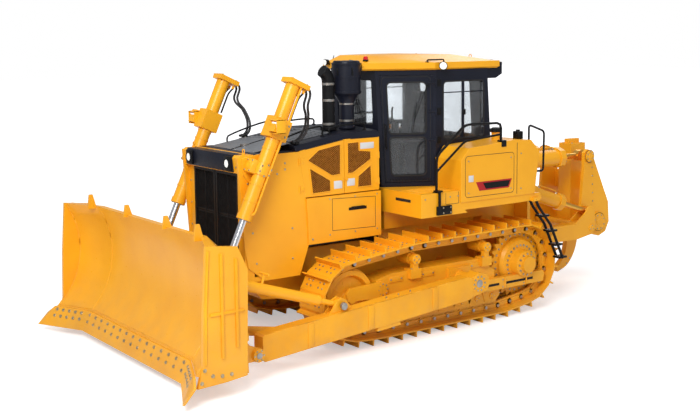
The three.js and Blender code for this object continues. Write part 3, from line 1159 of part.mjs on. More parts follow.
function buildCarriage() {
  const [hx, hz] = RIP_HEEL;
  const plate = sidePlate([
    [RIP_HEAD[0] + 90, RIP_HEAD[1] + 60], [RIP_HEAD[0] + 20, RIP_HEAD[1] + 115],
    [RIP_HEAD[0] - 70, RIP_HEAD[1] + 90],
    [-4240, 1290], [-4265, 960], [-4180, 800], [-4020, 740], [hx - 40, hz - 110], [hx + 60, hz - 95],
    [hx + 105, hz + 10], [hx + 50, 1250], [RIP_HEAD[0] + 95, 1900]], RIP_PLATE_IN, RIP_PLATE_OUT);
  const disc = crossBar(-3972, 985, RIP_PLATE_OUT - 5, RIP_PLATE_OUT + 38, 165, 20);
  const headPin = crossBar(...RIP_HEAD, RIP_PLATE_OUT - 5, RIP_PLATE_OUT + 34, 74, 16);
  const side = join(plate, disc, headPin);
  const pocket = box(SHANK_BACK - 50, SHANK_FRONT + 35, -RIP_POCKET, RIP_POCKET, 780, 2270);
  const shankSlot = box(SHANK_BACK - GAP, SHANK_FRONT + GAP, -SHANK_HALF - GAP, SHANK_HALF + GAP, 700, 2400);
  const crossBeam = box(-4200, SHANK_BACK + 40, -RIP_PLATE_IN - 5, RIP_PLATE_IN + 5, 830, 1180);
  const upperBeam = box(SHANK_BACK - 45, SHANK_BACK + 60, -RIP_PLATE_IN - 5, RIP_PLATE_IN + 5, 1480, 1780);
  const heelHole = crossBar(hx, hz, -RIP_ARM_IN, RIP_ARM_IN, HEEL_SHAFT_R + 0.8, 24);
  return cut(join(side, mirrored(side), pocket, crossBeam, upperBeam), shankSlot, heelHole);
}

// A curved single shank with a point at its toe, held in the pocket by a cross pin.
function buildShank() {
  const curve = (points) => new THREE.CatmullRomCurve3(points.map(([x, z]) => new THREE.Vector3(x, 0, z)))
    .getPoints(12).map((p) => [p.x, p.z]);
  const [f, b] = [SHANK_FRONT, SHANK_BACK];
  const back = curve([[b, 760], [b + 25, 560], [b + 110, 360], [b + 260, 200], [b + 470, 118]]);
  const front = curve([[b + 510, 190], [f + 110, 310], [f + 35, 450], [f + 5, 620], [f, 780]]);
  return sidePlate([[b, 2340], ...back, ...front, [f, 2340]], -SHANK_HALF, SHANK_HALF);
}

// ---------------------------------------------------------------- assembly
placePair(dozer, 'track', buildTrack(), castIron);
placePair(dozer, 'track_frame', buildTrackFrame(), paint);
placePair(dozer, 'idler', buildIdler(), paint);
placePair(dozer, 'sprocket', buildSprocket(), paint);
place(dozer, 'main_frame', buildMainFrame(), paint);
place(dozer, 'radiator_guard', buildRadiatorGuard(), paint);
place(dozer, 'hood', buildHood(), darkPaint);
place(dozer, 'engine', buildEngine(), castIron);
place(dozer, 'exhaust_pipe', buildExhaust(), blackPaint);
place(dozer, 'air_precleaner', buildPrecleaner(), darkPaint);
place(dozer, 'cab', buildCab(), darkPaint);
place(dozer, 'cab_roof', buildRoof(), paint);
place(dozer, 'windscreen', buildWindscreen(), glass);
place(dozer, 'rear_window', buildRearWindow(), glass);
placePair(dozer, 'side_window', buildSideWindow(), glass);
place(dozer, 'operator_seat', buildSeat(), cushion);
place(dozer, 'left_fender', join(buildFender(), ...ladder()), paint);
place(dozer, 'right_fender', mirrored(buildFender()), paint);
place(dozer, 'fuel_tank', buildTank(), paint);
place(dozer, 'hydraulic_tank', mirrored(buildTank()), paint);
placePair(dozer, 'handrail', buildHandrail(), blackPaint);

for (const [side, label] of [[1, 'left'], [-1, 'right']]) {
  const handed = (geometry) => (side > 0 ? geometry : mirrored(geometry));
  const grille = pivot(dozer, NOSE_FRONT - 20, side * GRILLE_HALF, GRILLE_BOTTOM);
  place(grille, `${label}_grille_door`, handed(buildGrilleDoor()), blackPaint);
  const frontDoor = pivot(dozer, seamX(DOOR_SILL_Z), side * NOSE_HALF, DOOR_SILL_Z);
  place(frontDoor, `${label}_front_engine_door`, handed(engineDoor(HOOD_KINK + MID_SEAM, seamX)), paint);
  const rearDoor = pivot(dozer, REAR_DOOR_X, side * NOSE_HALF, DOOR_SILL_Z);
  place(rearDoor, `${label}_rear_engine_door`, handed(engineDoor(REAR_DOOR_X, () => HOOD_KINK - MID_SEAM)), paint);
  const cabDoor = pivot(dozer, HINGE_X, side * CAB_SIDE, DOOR_BOTTOM);
  place(cabDoor, `${label}_cab_door`, handed(buildCabDoor()), darkPaint);
  place(cabDoor, `${label}_door_glass`, handed(buildDoorGlass()), glass);
  const lift = pivot(dozer, TRUNNION_X, side * LIFT_Y, TRUNNION_Z);
  place(lift, `${label}_lift_barrel`, handed(buildLiftBarrel()), paint);
  place(lift, `${label}_lift_rod`, handed(buildLiftRod()), chrome);
  place(dozer, `${label}_lift_hoses`, handed(buildLiftHoses()), rubber);
}

const bladeSwing = pivot(dozer, PUSH_X, 0, PUSH_Z);
place(bladeSwing, 'blade', buildBlade(), paint);
place(bladeSwing, 'cutting_edge', buildCuttingEdge(), castIron);
placePair(bladeSwing, 'push_arm', buildPushArm(), paint);
place(bladeSwing, 'left_brace', buildBrace(), paint);
place(bladeSwing, 'right_tilt_cylinder', buildTiltCylinder(), paint);

place(dozer, 'ripper_bracket', buildRipperBracket(), paint);
const pitchBarrels = pivot(dozer, RIP_HIGH[0], 0, RIP_HIGH[1]);
place(pitchBarrels, 'ripper_pitch_barrels',
  barrelPair(PITCH_LINE, RIP_HIGH, RIP_PITCH_Y, PITCH_BARREL_R, PITCH_BARREL, RIP_CHEEK_IN - GAP), paint);
const liftBarrels = pivot(dozer, RIP_LIFT_LOW[0], 0, RIP_LIFT_LOW[1]);
place(liftBarrels, 'ripper_lift_barrels',
  barrelPair(LIFTER_LINE, RIP_LIFT_LOW, RIP_LIFT_Y, LIFTER_BARREL_R, LIFTER_BARREL, RIP_LUG_IN - GAP), paint);
const pitchRod = rodPiece(PITCH_LINE, RIP_PITCH_Y, PITCH_ROD_IN, RIP_HEAD, 92);
placePair(pitchBarrels, 'ripper_pitch_rod', pitchRod, chrome);
const liftRod = rodPiece(LIFTER_LINE, RIP_LIFT_Y, LIFTER_ROD_IN, RIP_LIFT_EYE, 84);
placePair(liftBarrels, 'ripper_lift_rod', liftRod, chrome);
const lowerFrame = pivot(dozer, RIP_LOW[0], 0, RIP_LOW[1]);
place(lowerFrame, 'ripper_lower_frame', buildRipperLowerFrame(), paint);
const heel = pivot(lowerFrame, RIP_HEEL[0], 0, RIP_HEEL[1]);
place(heel, 'ripper_hinge_shaft', buildHingeShaft(), paint);
place(heel, 'ripper_carriage', buildCarriage(), paint);
place(heel, 'ripper_shank', buildShank(), paint);

// The origin is the middle of the footprint of the whole machine, on the ground.
dozer.updateMatrixWorld(true);
const extent = new THREE.Box3().setFromObject(dozer);
dozer.position.x = -(extent.min.x + extent.max.x) / 2;
dozer.updateMatrixWorld(true);

export default dozer;
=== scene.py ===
# %% [markdown]
# # A tracked bulldozer with a blade and a ripper
# The CAD model gives every solid its size and place. This lesson gives those solids their paint, and adds what
# a solid model leaves out: bolts, hoses, lamps, mesh, seals, hinges and the links of the chain.
# Sizes are in metres. +X is forward, +Y is the machine's left and +Z is up.

import math

import bmesh
import bpy
from mathutils import Matrix, Vector
from mathutils.bvhtree import BVHTree


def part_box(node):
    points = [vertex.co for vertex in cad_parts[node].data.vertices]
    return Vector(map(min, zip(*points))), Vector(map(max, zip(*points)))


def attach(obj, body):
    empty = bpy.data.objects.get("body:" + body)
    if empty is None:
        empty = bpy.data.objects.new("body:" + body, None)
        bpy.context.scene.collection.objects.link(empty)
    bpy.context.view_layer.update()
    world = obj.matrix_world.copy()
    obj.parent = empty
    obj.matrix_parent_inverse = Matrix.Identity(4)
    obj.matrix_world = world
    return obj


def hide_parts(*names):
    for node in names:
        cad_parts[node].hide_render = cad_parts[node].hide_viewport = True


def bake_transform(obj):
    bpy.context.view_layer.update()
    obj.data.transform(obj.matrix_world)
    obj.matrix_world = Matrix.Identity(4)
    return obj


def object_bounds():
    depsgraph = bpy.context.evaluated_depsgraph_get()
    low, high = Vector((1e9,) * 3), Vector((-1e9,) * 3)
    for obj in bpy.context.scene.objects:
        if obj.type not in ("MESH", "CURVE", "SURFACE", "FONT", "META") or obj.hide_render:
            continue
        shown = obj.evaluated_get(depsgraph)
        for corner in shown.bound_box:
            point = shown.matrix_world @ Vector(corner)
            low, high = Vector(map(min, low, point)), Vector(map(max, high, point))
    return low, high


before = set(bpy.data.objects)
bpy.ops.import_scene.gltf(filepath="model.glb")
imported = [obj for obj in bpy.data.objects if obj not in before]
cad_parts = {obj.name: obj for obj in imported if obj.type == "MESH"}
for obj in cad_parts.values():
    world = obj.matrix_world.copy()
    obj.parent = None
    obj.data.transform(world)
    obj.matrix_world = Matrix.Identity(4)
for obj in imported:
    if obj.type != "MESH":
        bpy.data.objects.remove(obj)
cad_low, cad_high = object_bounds()
scene = bpy.context.scene
X, Y, Z = Vector((1, 0, 0)), Vector((0, 1, 0)), Vector((0, 0, 1))
print("CAD box", [round(v, 3) for v in (*cad_low, *cad_high)])

# %% [markdown]
# Most places on the machine are given from one point: 2.1 m in front of the rear face of the main frame, on the
# ground, in the middle. Taking that point from the CAD box keeps every piece in its place if the model is centred
# again. The two sides are alike, so most cells run once for each side with y counted outwards.

# %% Places
DATUM_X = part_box("main_frame")[0].x + 2.1


def at(x, y, z):
    """A point of the machine, with x counted from the datum."""
    return Vector((DATUM_X + x, y, z))


def mirrored(side):
    """The same, for one side: y counts outwards."""
    return lambda x, y, z: at(x, side * y, z)


# the name of each side, its sign, the way out of it and its places
SIDES = [("left", 1, Y, mirrored(1)), ("right", -1, -Y, mirrored(-1))]
print("datum", round(DATUM_X, 4))

# %% [markdown]
# ## Camera and studio
# The camera stands in front of the machine on its left, a little higher than the cab, and looks slightly down.
# A vertical shift keeps the uprights upright while the machine stays in the middle of the frame.

# %% Camera
CAMERA_AT = at(9.895, 12.631, 4.108)
YAW, PITCH, ROLL = math.radians(234.0), math.radians(6.924), math.radians(-0.54)
SENSOR = 36
FRAME_WIDE = 700
FOCAL_SHARE = 1099.58 / FRAME_WIDE  # focal length over the width of the frame
SHIFT = -42.64 / FRAME_WIDE


def camera_axes(yaw, pitch, roll):
    ahead = Vector((math.cos(yaw) * math.cos(pitch), math.sin(yaw) * math.cos(pitch), -math.sin(pitch)))
    right = Vector((math.sin(yaw), -math.cos(yaw), 0))
    up = right.cross(ahead)
    return right * math.cos(roll) + up * math.sin(roll), up * math.cos(roll) - right * math.sin(roll), ahead


right, up, ahead = camera_axes(YAW, PITCH, ROLL)
lens_data = bpy.data.cameras.new("camera")
lens_data.sensor_width = SENSOR
lens_data.lens = FOCAL_SHARE * SENSOR
lens_data.shift_y = SHIFT
camera = bpy.data.objects.new("camera", lens_data)
scene.collection.objects.link(camera)
camera.matrix_world = Matrix.Translation(CAMERA_AT) @ Matrix((right, up, -ahead)).transposed().to_4x4()
scene.camera = camera
print("lens", round(lens_data.lens, 2), "mm")

# %% [markdown]
# ## Light
# A photographer lights a yellow machine with large soft lamps, so that curved plates shade slowly. A key lamp
# stands high in front, a weaker one fills the side, one behind and one overhead draw the upper edges, and a pale
# world fills what is left.

# %% Lamps and world
MIDDLE = Vector((0, 0, 1.4))
# each lamp's place, width, power and share in the reflections
LAMPS = {"key": ((11, 9, 11), 8, 1950, 1.0), "side": ((-4, 16, 8), 9, 240, 1.0),
         "behind": ((-13, -8, 11), 9, 480, 0.15), "overhead": ((0, 0, 15), 12, 640, 0.4)}
SKY, SKY_STRENGTH = (0.93, 0.95, 1.0, 1), 0.42
WHITE = (1, 1, 1, 1)


def area_lamp(name, place, size, power, shine):
    data = bpy.data.lights.new(name, "AREA")
    data.shape, data.size, data.energy, data.specular_factor = "DISK", size, power, shine
    lamp = bpy.data.objects.new(name, data)
    scene.collection.objects.link(lamp)
    facing = (MIDDLE - Vector(place)).to_track_quat("-Z", "Y").to_matrix().to_4x4()
    lamp.matrix_world = Matrix.Translation(place) @ facing


def feed(node, inputs):
    """Gives a node's inputs, by name or number, their values or links."""
    for key, value in inputs.items():
        if isinstance(value, bpy.types.NodeSocket):
            node.id_data.links.new(value, node.inputs[key])
        else:
            node.inputs[key].default_value = value
    return node


def shade(tree, kind, inputs=None, **settings):
    """A new shader node with its settings and inputs."""
    node = tree.nodes.new("ShaderNode" + kind)
    for key, value in settings.items():
        setattr(node, key, value)
    return feed(node, inputs or {})


def spread(tree, value, low, high, to_low, to_high):
    """The value, stretched from one range to another and held inside it."""
    return shade(tree, "MapRange", {0: value, 1: low, 2: high, 3: to_low, 4: to_high}).outputs[0]


def seen_directly(tree):
    """1 for rays from the camera or through glass."""
    path = shade(tree, "LightPath").outputs
    rays = {0: path["Is Camera Ray"], 1: path["Is Transmission Ray"]}
    return shade(tree, "Math", rays, operation="MAXIMUM").outputs[0]


def shown(tree, plain, direct):
    """One shader for light in the scene and another for the camera."""
    return shade(tree, "MixShader", {0: seen_directly(tree), 1: plain, 2: direct}).outputs[0]


for name, settings in LAMPS.items():
    area_lamp(name, *settings)
world = bpy.data.worlds.new("studio")
scene.world = world
world.use_nodes = True
tree = world.node_tree
tree.nodes.clear()
surround = shade(tree, "Background", {"Color": SKY, "Strength": SKY_STRENGTH}).outputs[0]
backdrop = shade(tree, "Background", {"Color": WHITE, "Strength": 1.0}).outputs[0]
shade(tree, "OutputWorld", {"Surface": shown(tree, surround, backdrop)})
scene.view_settings.view_transform = "Standard"

# %% [markdown]
# ## Floor
# A wide pale floor takes the machine's shadow. Seen by the camera it is lifted towards white, so that it meets
# the white backdrop without a line, while the light that it throws back on the machine stays plain.

# %% Floor
FLOOR_REACH = 90
FLOOR_TONE = (0.86, 0.86, 0.86, 1)
NEAR, FAR = 5.0, 26.0  # the floor's own light grows from one distance to the other
NEAR_GLOW, FAR_GLOW = 0.44, 0.95
floor_mesh = bmesh.new()
bmesh.ops.create_grid(floor_mesh, x_segments=1, y_segments=1, size=FLOOR_REACH)
floor_data = bpy.data.meshes.new("floor")
floor_mesh.to_mesh(floor_data)
floor_mesh.free()
floor = bpy.data.objects.new("floor", floor_data)
scene.collection.objects.link(floor)
floor_look = bpy.data.materials.new("pale_floor")
floor_look.use_nodes = True
tree = floor_look.node_tree
tree.nodes.clear()
matt = shade(tree, "BsdfDiffuse", {"Color": FLOOR_TONE}).outputs[0]
place = shade(tree, "TexCoord").outputs["Object"]
far = shade(tree, "VectorMath", {0: place}, operation="LENGTH").outputs["Value"]
glow = shade(tree, "Emission", {"Strength": spread(tree, far, NEAR, FAR, NEAR_GLOW, FAR_GLOW)}).outputs[0]
lifted = shade(tree, "AddShader", {0: matt, 1: glow}).outputs[0]
shade(tree, "OutputMaterial", {"Surface": shown(tree, matt, lifted)})
floor_data.materials.append(floor_look)
print("floor", [round(v, 1) for v in floor.dimensions])

# %% [markdown]
# ## Paint
# Machine paint is sprayed thick over welded plate: its colour drifts a little from plate to plate, its skin has
# a fine orange peel, and its edges catch the light because steel plate is never quite sharp. One helper makes
# every paint, with noise for the drift, a smaller noise for the peel, and a Bevel node that rounds the shading of
# edges. Along the edges the colour is also painted lighter in patches, as a painted highlight. Towards the ground
# some paints turn darker and browner, in soft clouds.

# %% Paint helper
# the brown that lower parts turn towards near the ground
GROUND_BROWN = (0.33, 0.25, 0.16)
# how fine each noise is, in bumps a metre
DRIFT, CLOUDS, PATCHES, SPECKS, PEEL = 1.7, 5.5, 21.0, 38.0, 260.0
RELIEF = 0.0012  # the depth of peel and of a hose's weave


def look(name):
    """A material with its Principled shader and its Object coordinates."""
    material = bpy.data.materials.new(name)
    material.use_nodes = True
    tree = material.node_tree
    tree.nodes.clear()
    shader = shade(tree, "BsdfPrincipled")
    shade(tree, "OutputMaterial", {"Surface": shader.outputs[0]})
    return material, tree, shader, shade(tree, "TexCoord").outputs["Object"]


def noise(tree, place, scale, detail=3.0, stretch=None):
    if stretch:
        place = shade(tree, "Mapping", {"Scale": stretch, "Vector": place}).outputs[0]
    return shade(tree, "TexNoise", {"Scale": scale, "Detail": detail, "Vector": place}).outputs["Fac"]


def ramp(tree, factor, dark, colour):
    """From one colour to another along the middle of a factor."""
    node = shade(tree, "ValToRGB", {0: factor})
    for element, position, tone in zip(node.color_ramp.elements, (0.3, 0.7), (dark, colour)):
        element.position, element.color = position, (*tone, 1)
    return node.outputs[0]


def dimmed(colour, share):
    return tuple(c * share for c in colour)


def times(tree, first, second):
    return shade(tree, "Math", {0: first, 1: second}, operation="MULTIPLY").outputs[0]


def blend_colours(tree, factor, first, second):
    """A mix of a socket's colour and a plain colour."""
    return shade(tree, "Mix", {0: factor, 6: first, 7: (*second, 1)}, data_type="RGBA").outputs[2]


def rounded_bump(tree, shader, height, strength, distance, edge=0.004):
    """Fine relief, over a normal that is rounded at the edges if there is an edge."""
    bump = shade(tree, "Bump", {"Strength": strength, "Distance": distance, "Height": height})
    feed(shader, {"Normal": bump.outputs[0]})
    if edge:
        soft_edge = shade(tree, "Bevel", {"Radius": edge}, samples=4).outputs[0]
        feed(bump, {"Normal": soft_edge})
        return soft_edge


# A mask for a painted highlight: paint is coloured lighter along its edges.
def painted_edge_highlight(tree, soft_normal):
    """1 along convex and concave edges, 0 on flats."""
    true_normal = shade(tree, "NewGeometry").outputs["Normal"]
    dot = shade(tree, "VectorMath", {0: soft_normal, 1: true_normal}, operation="DOT_PRODUCT")
    return spread(tree, dot.outputs["Value"], 0.995, 0.9, 0.0, 1.0)


def machine_paint(name, colour, dark, edge_highlight_colour, roughness, coat=0.1, ground_brown_share=0.0, ground_brown_top=0.9):
    material, tree, shader, place = look(name)
    specks = noise(tree, place, SPECKS, 6.0)
    drift = ramp(tree, noise(tree, place, DRIFT, 5.0), dark, colour)
    drift = blend_colours(tree, spread(tree, specks, 0.62, 0.75, 0.0, 0.22), drift, dark)
    soft = rounded_bump(tree, shader, noise(tree, place, PEEL, 2.0), 0.12, RELIEF)
    patches = spread(tree, noise(tree, place, PATCHES, 6.0), 0.42, 0.66, 0.0, 0.75)
    # Painted highlight: the colour turns lighter along the edges, in patches.
    tone = blend_colours(tree, times(tree, painted_edge_highlight(tree, soft), patches), drift, edge_highlight_colour)
    # Towards the ground the colour turns darker and browner, in soft clouds.
    if ground_brown_share:
        height = shade(tree, "SeparateXYZ", {0: place}).outputs["Z"]
        low = spread(tree, height, 0.02, ground_brown_top, ground_brown_share, 0.0)
        cloud = spread(tree, noise(tree, place, CLOUDS, 8.0), 0.35, 0.7, 0.15, 1.0)
        tone = blend_colours(tree, times(tree, low, cloud), tone, GROUND_BROWN)
    feed(shader, {"Base Color": tone,
                  "Roughness": spread(tree, specks, 0.3, 0.8, roughness - 0.06, roughness + 0.1),
                  "Specular IOR Level": 0.14 + coat, "Coat Weight": coat, "Coat Roughness": 0.18})
    return material


# Each paint: its colour, the darker end of its drift, the lighter colour of its painted edge highlight, its roughness
# and coat, then how strongly and how high it turns darker and browner near the ground.
YELLOW = (0.93, 0.43, 0.012)
yellow_paint = machine_paint("yellow_paint", YELLOW, (0.86, 0.375, 0.010), (1.0, 0.58, 0.10), 0.36, 0.16)
low_yellow = machine_paint("low_yellow_paint", YELLOW, (0.80, 0.335, 0.010), (0.98, 0.55, 0.10), 0.44, 0.1, 0.26)
navy_paint = machine_paint("navy_paint", (0.010, 0.012, 0.022), (0.007, 0.008, 0.015), (0.05, 0.055, 0.07),
                           0.40, 0.06)
blade_paint = machine_paint("blade_paint", (0.92, 0.43, 0.014), (0.84, 0.36, 0.012), (0.98, 0.58, 0.12),
                            0.33, 0.2, 0.2, 1.1)
black_paint = machine_paint("black_paint", (0.006, 0.006, 0.0065), (0.004, 0.004, 0.0045), (0.04, 0.04, 0.04),
                            0.42, 0.04)
grey_paint = machine_paint("grey_paint", (0.17, 0.18, 0.19), (0.13, 0.135, 0.145), (0.32, 0.32, 0.33), 0.45)
red_paint = machine_paint("red_paint", (0.50, 0.012, 0.014), (0.38, 0.008, 0.01), (0.8, 0.2, 0.15), 0.4, 0.15)
white_paint = machine_paint("white_paint", (0.70, 0.71, 0.71), (0.60, 0.61, 0.61), (0.8, 0.8, 0.8), 0.4)
print("paints", len(bpy.data.materials))

# %% [markdown]
# ## Bare metals, rubber and glass
# A rod is hard chrome, so it is smooth metal with faint rings from grinding. Mesh in front of hot parts is
# steel that has gone brown. Hoses are rubber with a woven cover, so their bump runs in slanted bands.

# %% Other finishes
RINGS = {"scale": 30.0, "stretch": (1, 1, 6), "bump": 0.01, "edge": 0.0}  # a ground rod


def metal(name, colour, dark, roughness, scale=12.0, stretch=None, bump=0.05, edge=0.003):
    material, tree, shader, place = look(name)
    grain = noise(tree, place, scale, 6.0, stretch)
    feed(shader, {"Base Color": ramp(tree, grain, dark, colour), "Metallic": 1.0,
                  "Roughness": spread(tree, grain, 0.2, 0.8, roughness + 0.12, roughness)})
    rounded_bump(tree, shader, noise(tree, place, scale * 9, 3.0, stretch), bump, 0.001, edge)
    return material


def rubber_look(name, colour, roughness, weave):
    material, tree, shader, place = look(name)
    patches = noise(tree, place, 24.0, 5.0)
    wave = shade(tree, "TexWave", {"Scale": weave, "Distortion": 1.5, "Vector": place}, bands_direction="DIAGONAL")
    rounded_bump(tree, shader, wave.outputs["Fac"], 0.25, RELIEF, 0.002)
    feed(shader, {"Base Color": ramp(tree, patches, dimmed(colour, 0.6), colour),
                  "Roughness": spread(tree, patches, 0.3, 0.7, roughness, roughness + 0.15)})
    return material


def glass_look(name, tint, clear, roughness=0.03):
    material, tree, shader, place = look(name)
    film = noise(tree, place, 3.0, 4.0)
    feed(shader, {"Base Color": ramp(tree, film, dimmed(tint, 0.86), tint), "Transmission Weight": clear,
                  "Roughness": spread(tree, film, 0.3, 0.7, roughness, roughness + 0.05), "IOR": 1.45})
    return material


def glowing(name, colour, strength):
    material, tree, shader, place = look(name)
    feed(shader, {"Base Color": ramp(tree, noise(tree, place, 90.0, 2.0), dimmed(colour, 0.9), colour),
                  "Emission Color": (*colour, 1), "Emission Strength": strength, "Roughness": 0.2})
    return material


chrome = metal("chrome_rod", (0.82, 0.83, 0.85), (0.70, 0.72, 0.75), 0.16, **RINGS)
# The ripper's rods are given a yellow metal colour, as they show.
gold_rod = metal("yellow_metal_rod", (0.92, 0.52, 0.10), (0.80, 0.42, 0.07), 0.24, **RINGS)
bare_steel = metal("bare_steel", (0.52, 0.51, 0.49), (0.3, 0.28, 0.25), 0.34)
bolt_steel = metal("bolt_steel", (0.62, 0.55, 0.4), (0.42, 0.36, 0.24), 0.38)
brown_mesh = metal("brown_mesh", (0.66, 0.29, 0.05), (0.42, 0.17, 0.03), 0.5, 20.0)
# A darker copy of the brown mesh: painted shade for the space behind the door mesh.
mesh_back_shade = metal("mesh_back_shade", (0.24, 0.10, 0.022), (0.13, 0.055, 0.012), 0.7, 30.0)
cast_metal = metal("engine_casting", (0.2, 0.2, 0.2), (0.1, 0.1, 0.1), 0.6)
rubber = rubber_look("hose_rubber", (0.022, 0.022, 0.024), 0.5, 60.0)
seal_rubber = rubber_look("seal_rubber", (0.012, 0.012, 0.013), 0.62, 14.0)
seat_cloth = rubber_look("seat_cloth", (0.04, 0.041, 0.046), 0.75, 130.0)
window_glass = glass_look("window_glass", (0.86, 0.89, 0.91), 0.97)
red_glass = glass_look("red_glass", (0.85, 0.02, 0.02), 0.25, 0.12)
lamp_light = glowing("lamp_light", (0.80, 0.79, 0.76), 0.45)
print("finishes", len(bpy.data.materials))

# %% [markdown]
# ## Paint on the CAD solids
# A CAD node keeps its mesh. Live modifiers finish it: Weld joins its loose triangles, a planar Decimate turns each
# flat side into one face, and Bevel rounds the edges between sides as a grinder would. Then the facets of round
# bars shade as one curve, and weighted normals keep the flat sides flat.

# %% Finish of each CAD node
FINISHES = {
    yellow_paint: (
        "radiator_guard cab_roof fuel_tank hydraulic_tank left_fender right_fender ripper_bracket "
        "ripper_pitch_barrels ripper_lift_barrels ripper_lower_frame ripper_hinge_shaft ripper_carriage "
        "ripper_shank left_lift_barrel right_lift_barrel left_front_engine_door right_front_engine_door "
        "left_rear_engine_door right_rear_engine_door left_brace right_tilt_cylinder"),
    blade_paint: "blade cutting_edge",
    low_yellow: (
        "left_track right_track left_track_frame right_track_frame left_idler right_idler left_sprocket "
        "right_sprocket main_frame left_push_arm right_push_arm"),
    navy_paint: "hood air_precleaner cab left_cab_door right_cab_door",
    black_paint: "exhaust_pipe left_handrail right_handrail left_grille_door right_grille_door",
    cast_metal: "engine",
    chrome: "left_lift_rod right_lift_rod",
    gold_rod: "left_ripper_pitch_rod right_ripper_pitch_rod left_ripper_lift_rod right_ripper_lift_rod",
    rubber: "left_lift_hoses right_lift_hoses",
    window_glass: "windscreen rear_window left_side_window right_side_window left_door_glass right_door_glass",
    seat_cloth: "operator_seat",
}
EDGE_RADIUS = 0.005
EDGE_RADII = {"blade": 0.008, "radiator_guard": 0.009, "cab_roof": 0.02, "fuel_tank": 0.022,
              "hydraulic_tank": 0.022, "cab": 0.008, "hood": 0.008, "air_precleaner": 0.006,
              "left_push_arm": 0.012, "right_push_arm": 0.012, "ripper_carriage": 0.01}
LEFT_SHARP = {"left_track", "right_track", "operator_seat", *FINISHES[window_glass].split()}
ROUND_BELOW = math.radians(50)  # an edge that turns by more stays sharp
EDGE_ABOVE = math.radians(28)  # an edge that turns by more is rounded
FLAT_BELOW = math.radians(0.6)


def smooth_by_angle(limit):
    """A modifier's node group: every face shades smooth, and edges that turn by more than the limit stay sharp."""
    group = bpy.data.node_groups.new("smooth_by_angle", "GeometryNodeTree")
    for way in ("INPUT", "OUTPUT"):
        group.interface.new_socket("Geometry", in_out=way, socket_type="NodeSocketGeometry")
    start, end = group.nodes.new("NodeGroupInput"), group.nodes.new("NodeGroupOutput")
    faces, edges = (group.nodes.new("GeometryNodeSetShadeSmooth") for _ in range(2))
    faces.domain, edges.domain = "FACE", "EDGE"
    turn = group.nodes.new("FunctionNodeCompare")
    turn.operation = "GREATER_THAN"
    bend = group.nodes.new("GeometryNodeInputMeshEdgeAngle")
    feed(turn, {0: bend.outputs[0], 1: limit})
    feed(faces, {"Geometry": start.outputs[0]})
    feed(edges, {"Geometry": faces.outputs[0], "Selection": turn.outputs[0], "Shade Smooth": False})
    feed(end, {0: edges.outputs[0]})
    return group


ROUND = smooth_by_angle(ROUND_BELOW)


def soften(node, width):
    """Rounded edges on a CAD node, from live modifiers only."""
    node.modifiers.new("weld", "WELD").merge_threshold = 0.0001
    flat = node.modifiers.new("flat_faces", "DECIMATE")
    flat.decimate_type, flat.angle_limit = "DISSOLVE", FLAT_BELOW
    edge = node.modifiers.new("edges", "BEVEL")
    edge.width, edge.segments = width, 2
    edge.limit_method, edge.angle_limit = "ANGLE", EDGE_ABOVE
    edge.use_clamp_overlap = True
    node.modifiers.new("smooth", "NODES").node_group = ROUND
    node.modifiers.new("flats_stay_flat", "WEIGHTED_NORMAL").keep_sharp = True


for finish, names in FINISHES.items():
    for name in names.split():
        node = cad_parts[name]
        node.data.materials.clear()
        node.data.materials.append(finish)
        if name not in LEFT_SHARP:
            soften(node, EDGE_RADII.get(name, EDGE_RADIUS))
print("nodes finished", sum(len(names.split()) for names in FINISHES.values()), "of", len(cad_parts))

# %% [markdown]
# ## Small tools for new pieces
# Every added piece starts in a bmesh from an operator's own shape, and several shapes of one finish that ride on
# the same body are one piece, as a set of bolts is.

# %% Making shapes
M8, M9, M10, M11, M12, M14 = 0.008, 0.009, 0.010, 0.011, 0.012, 0.014  # how far a bolt's head reaches
SUNK = 0.0005  # a bolt's washer starts this far under the paint


def shapes(count):
    """Empty meshes, one for each finish of a cell."""
    return [bmesh.new() for _ in range(count)]


def along(direction):
    """The turn that points +Z along a direction."""
    return Vector(direction).to_track_quat("Z", "Y").to_matrix().to_4x4()


def bar(mesh, start, end, radius, sides=20, end_radius=None):
    """A round bar, which may taper."""
    start, end = Vector(start), Vector(end)
    span = end - start
    place = Matrix.Translation((start + end) / 2) @ along(span)
    bmesh.ops.create_cone(mesh, cap_ends=True, segments=sides, radius1=radius, depth=span.length, matrix=place,
                          radius2=radius if end_radius is None else end_radius)


def boss(mesh, seat, way, low, high, radius, sides=20, end_radius=None):
    """A round bar that stands on a seat, between two heights."""
    bar(mesh, seat + way * low, seat + way * high, radius, sides, end_radius)


def chain(mesh, spots, radius, sides=8, closed=False):
    """Bars from spot to spot."""
    spots = list(spots)
    for first, last in zip(spots, spots[1:] + spots[:closed]):
        bar(mesh, first, last, radius, sides)


def ring(heart, radius, count, start=0.0, first=X, second=Z):
    """Spots round a circle in the plane of two directions."""
    angles = [start + 2 * math.pi * k / count for k in range(count)]
    return [heart + first * (radius * math.cos(a)) + second * (radius * math.sin(a)) for a in angles]


def round_off(mesh, edges, width, segments=2):
    """A bevel along edges."""
    bmesh.ops.bevel(mesh, geom=edges, offset=width, segments=segments, profile=0.5, affect="EDGES", material=-1)


def block(mesh, low, high, edge=0.0, turn=None, segments=2):
    """A box between two corners, with its edges bevelled."""
    low, high = Vector(low), Vector(high)
    size = Matrix.Diagonal((*(abs(b - a) for a, b in zip(low, high)), 1))
    place = Matrix.Translation((low + high) / 2) @ (turn or Matrix.Identity(4)) @ size
    made = bmesh.ops.create_cube(mesh, size=1, matrix=place)["verts"]
    if edge:
        round_off(mesh, list({e for v in made for e in v.link_edges}), edge, segments)


def brick(mesh, heart, half, edge=0.0, turn=None, segments=2):
    """A box round its middle."""
    block(mesh, heart - Vector(half), heart + Vector(half), edge, turn, segments)


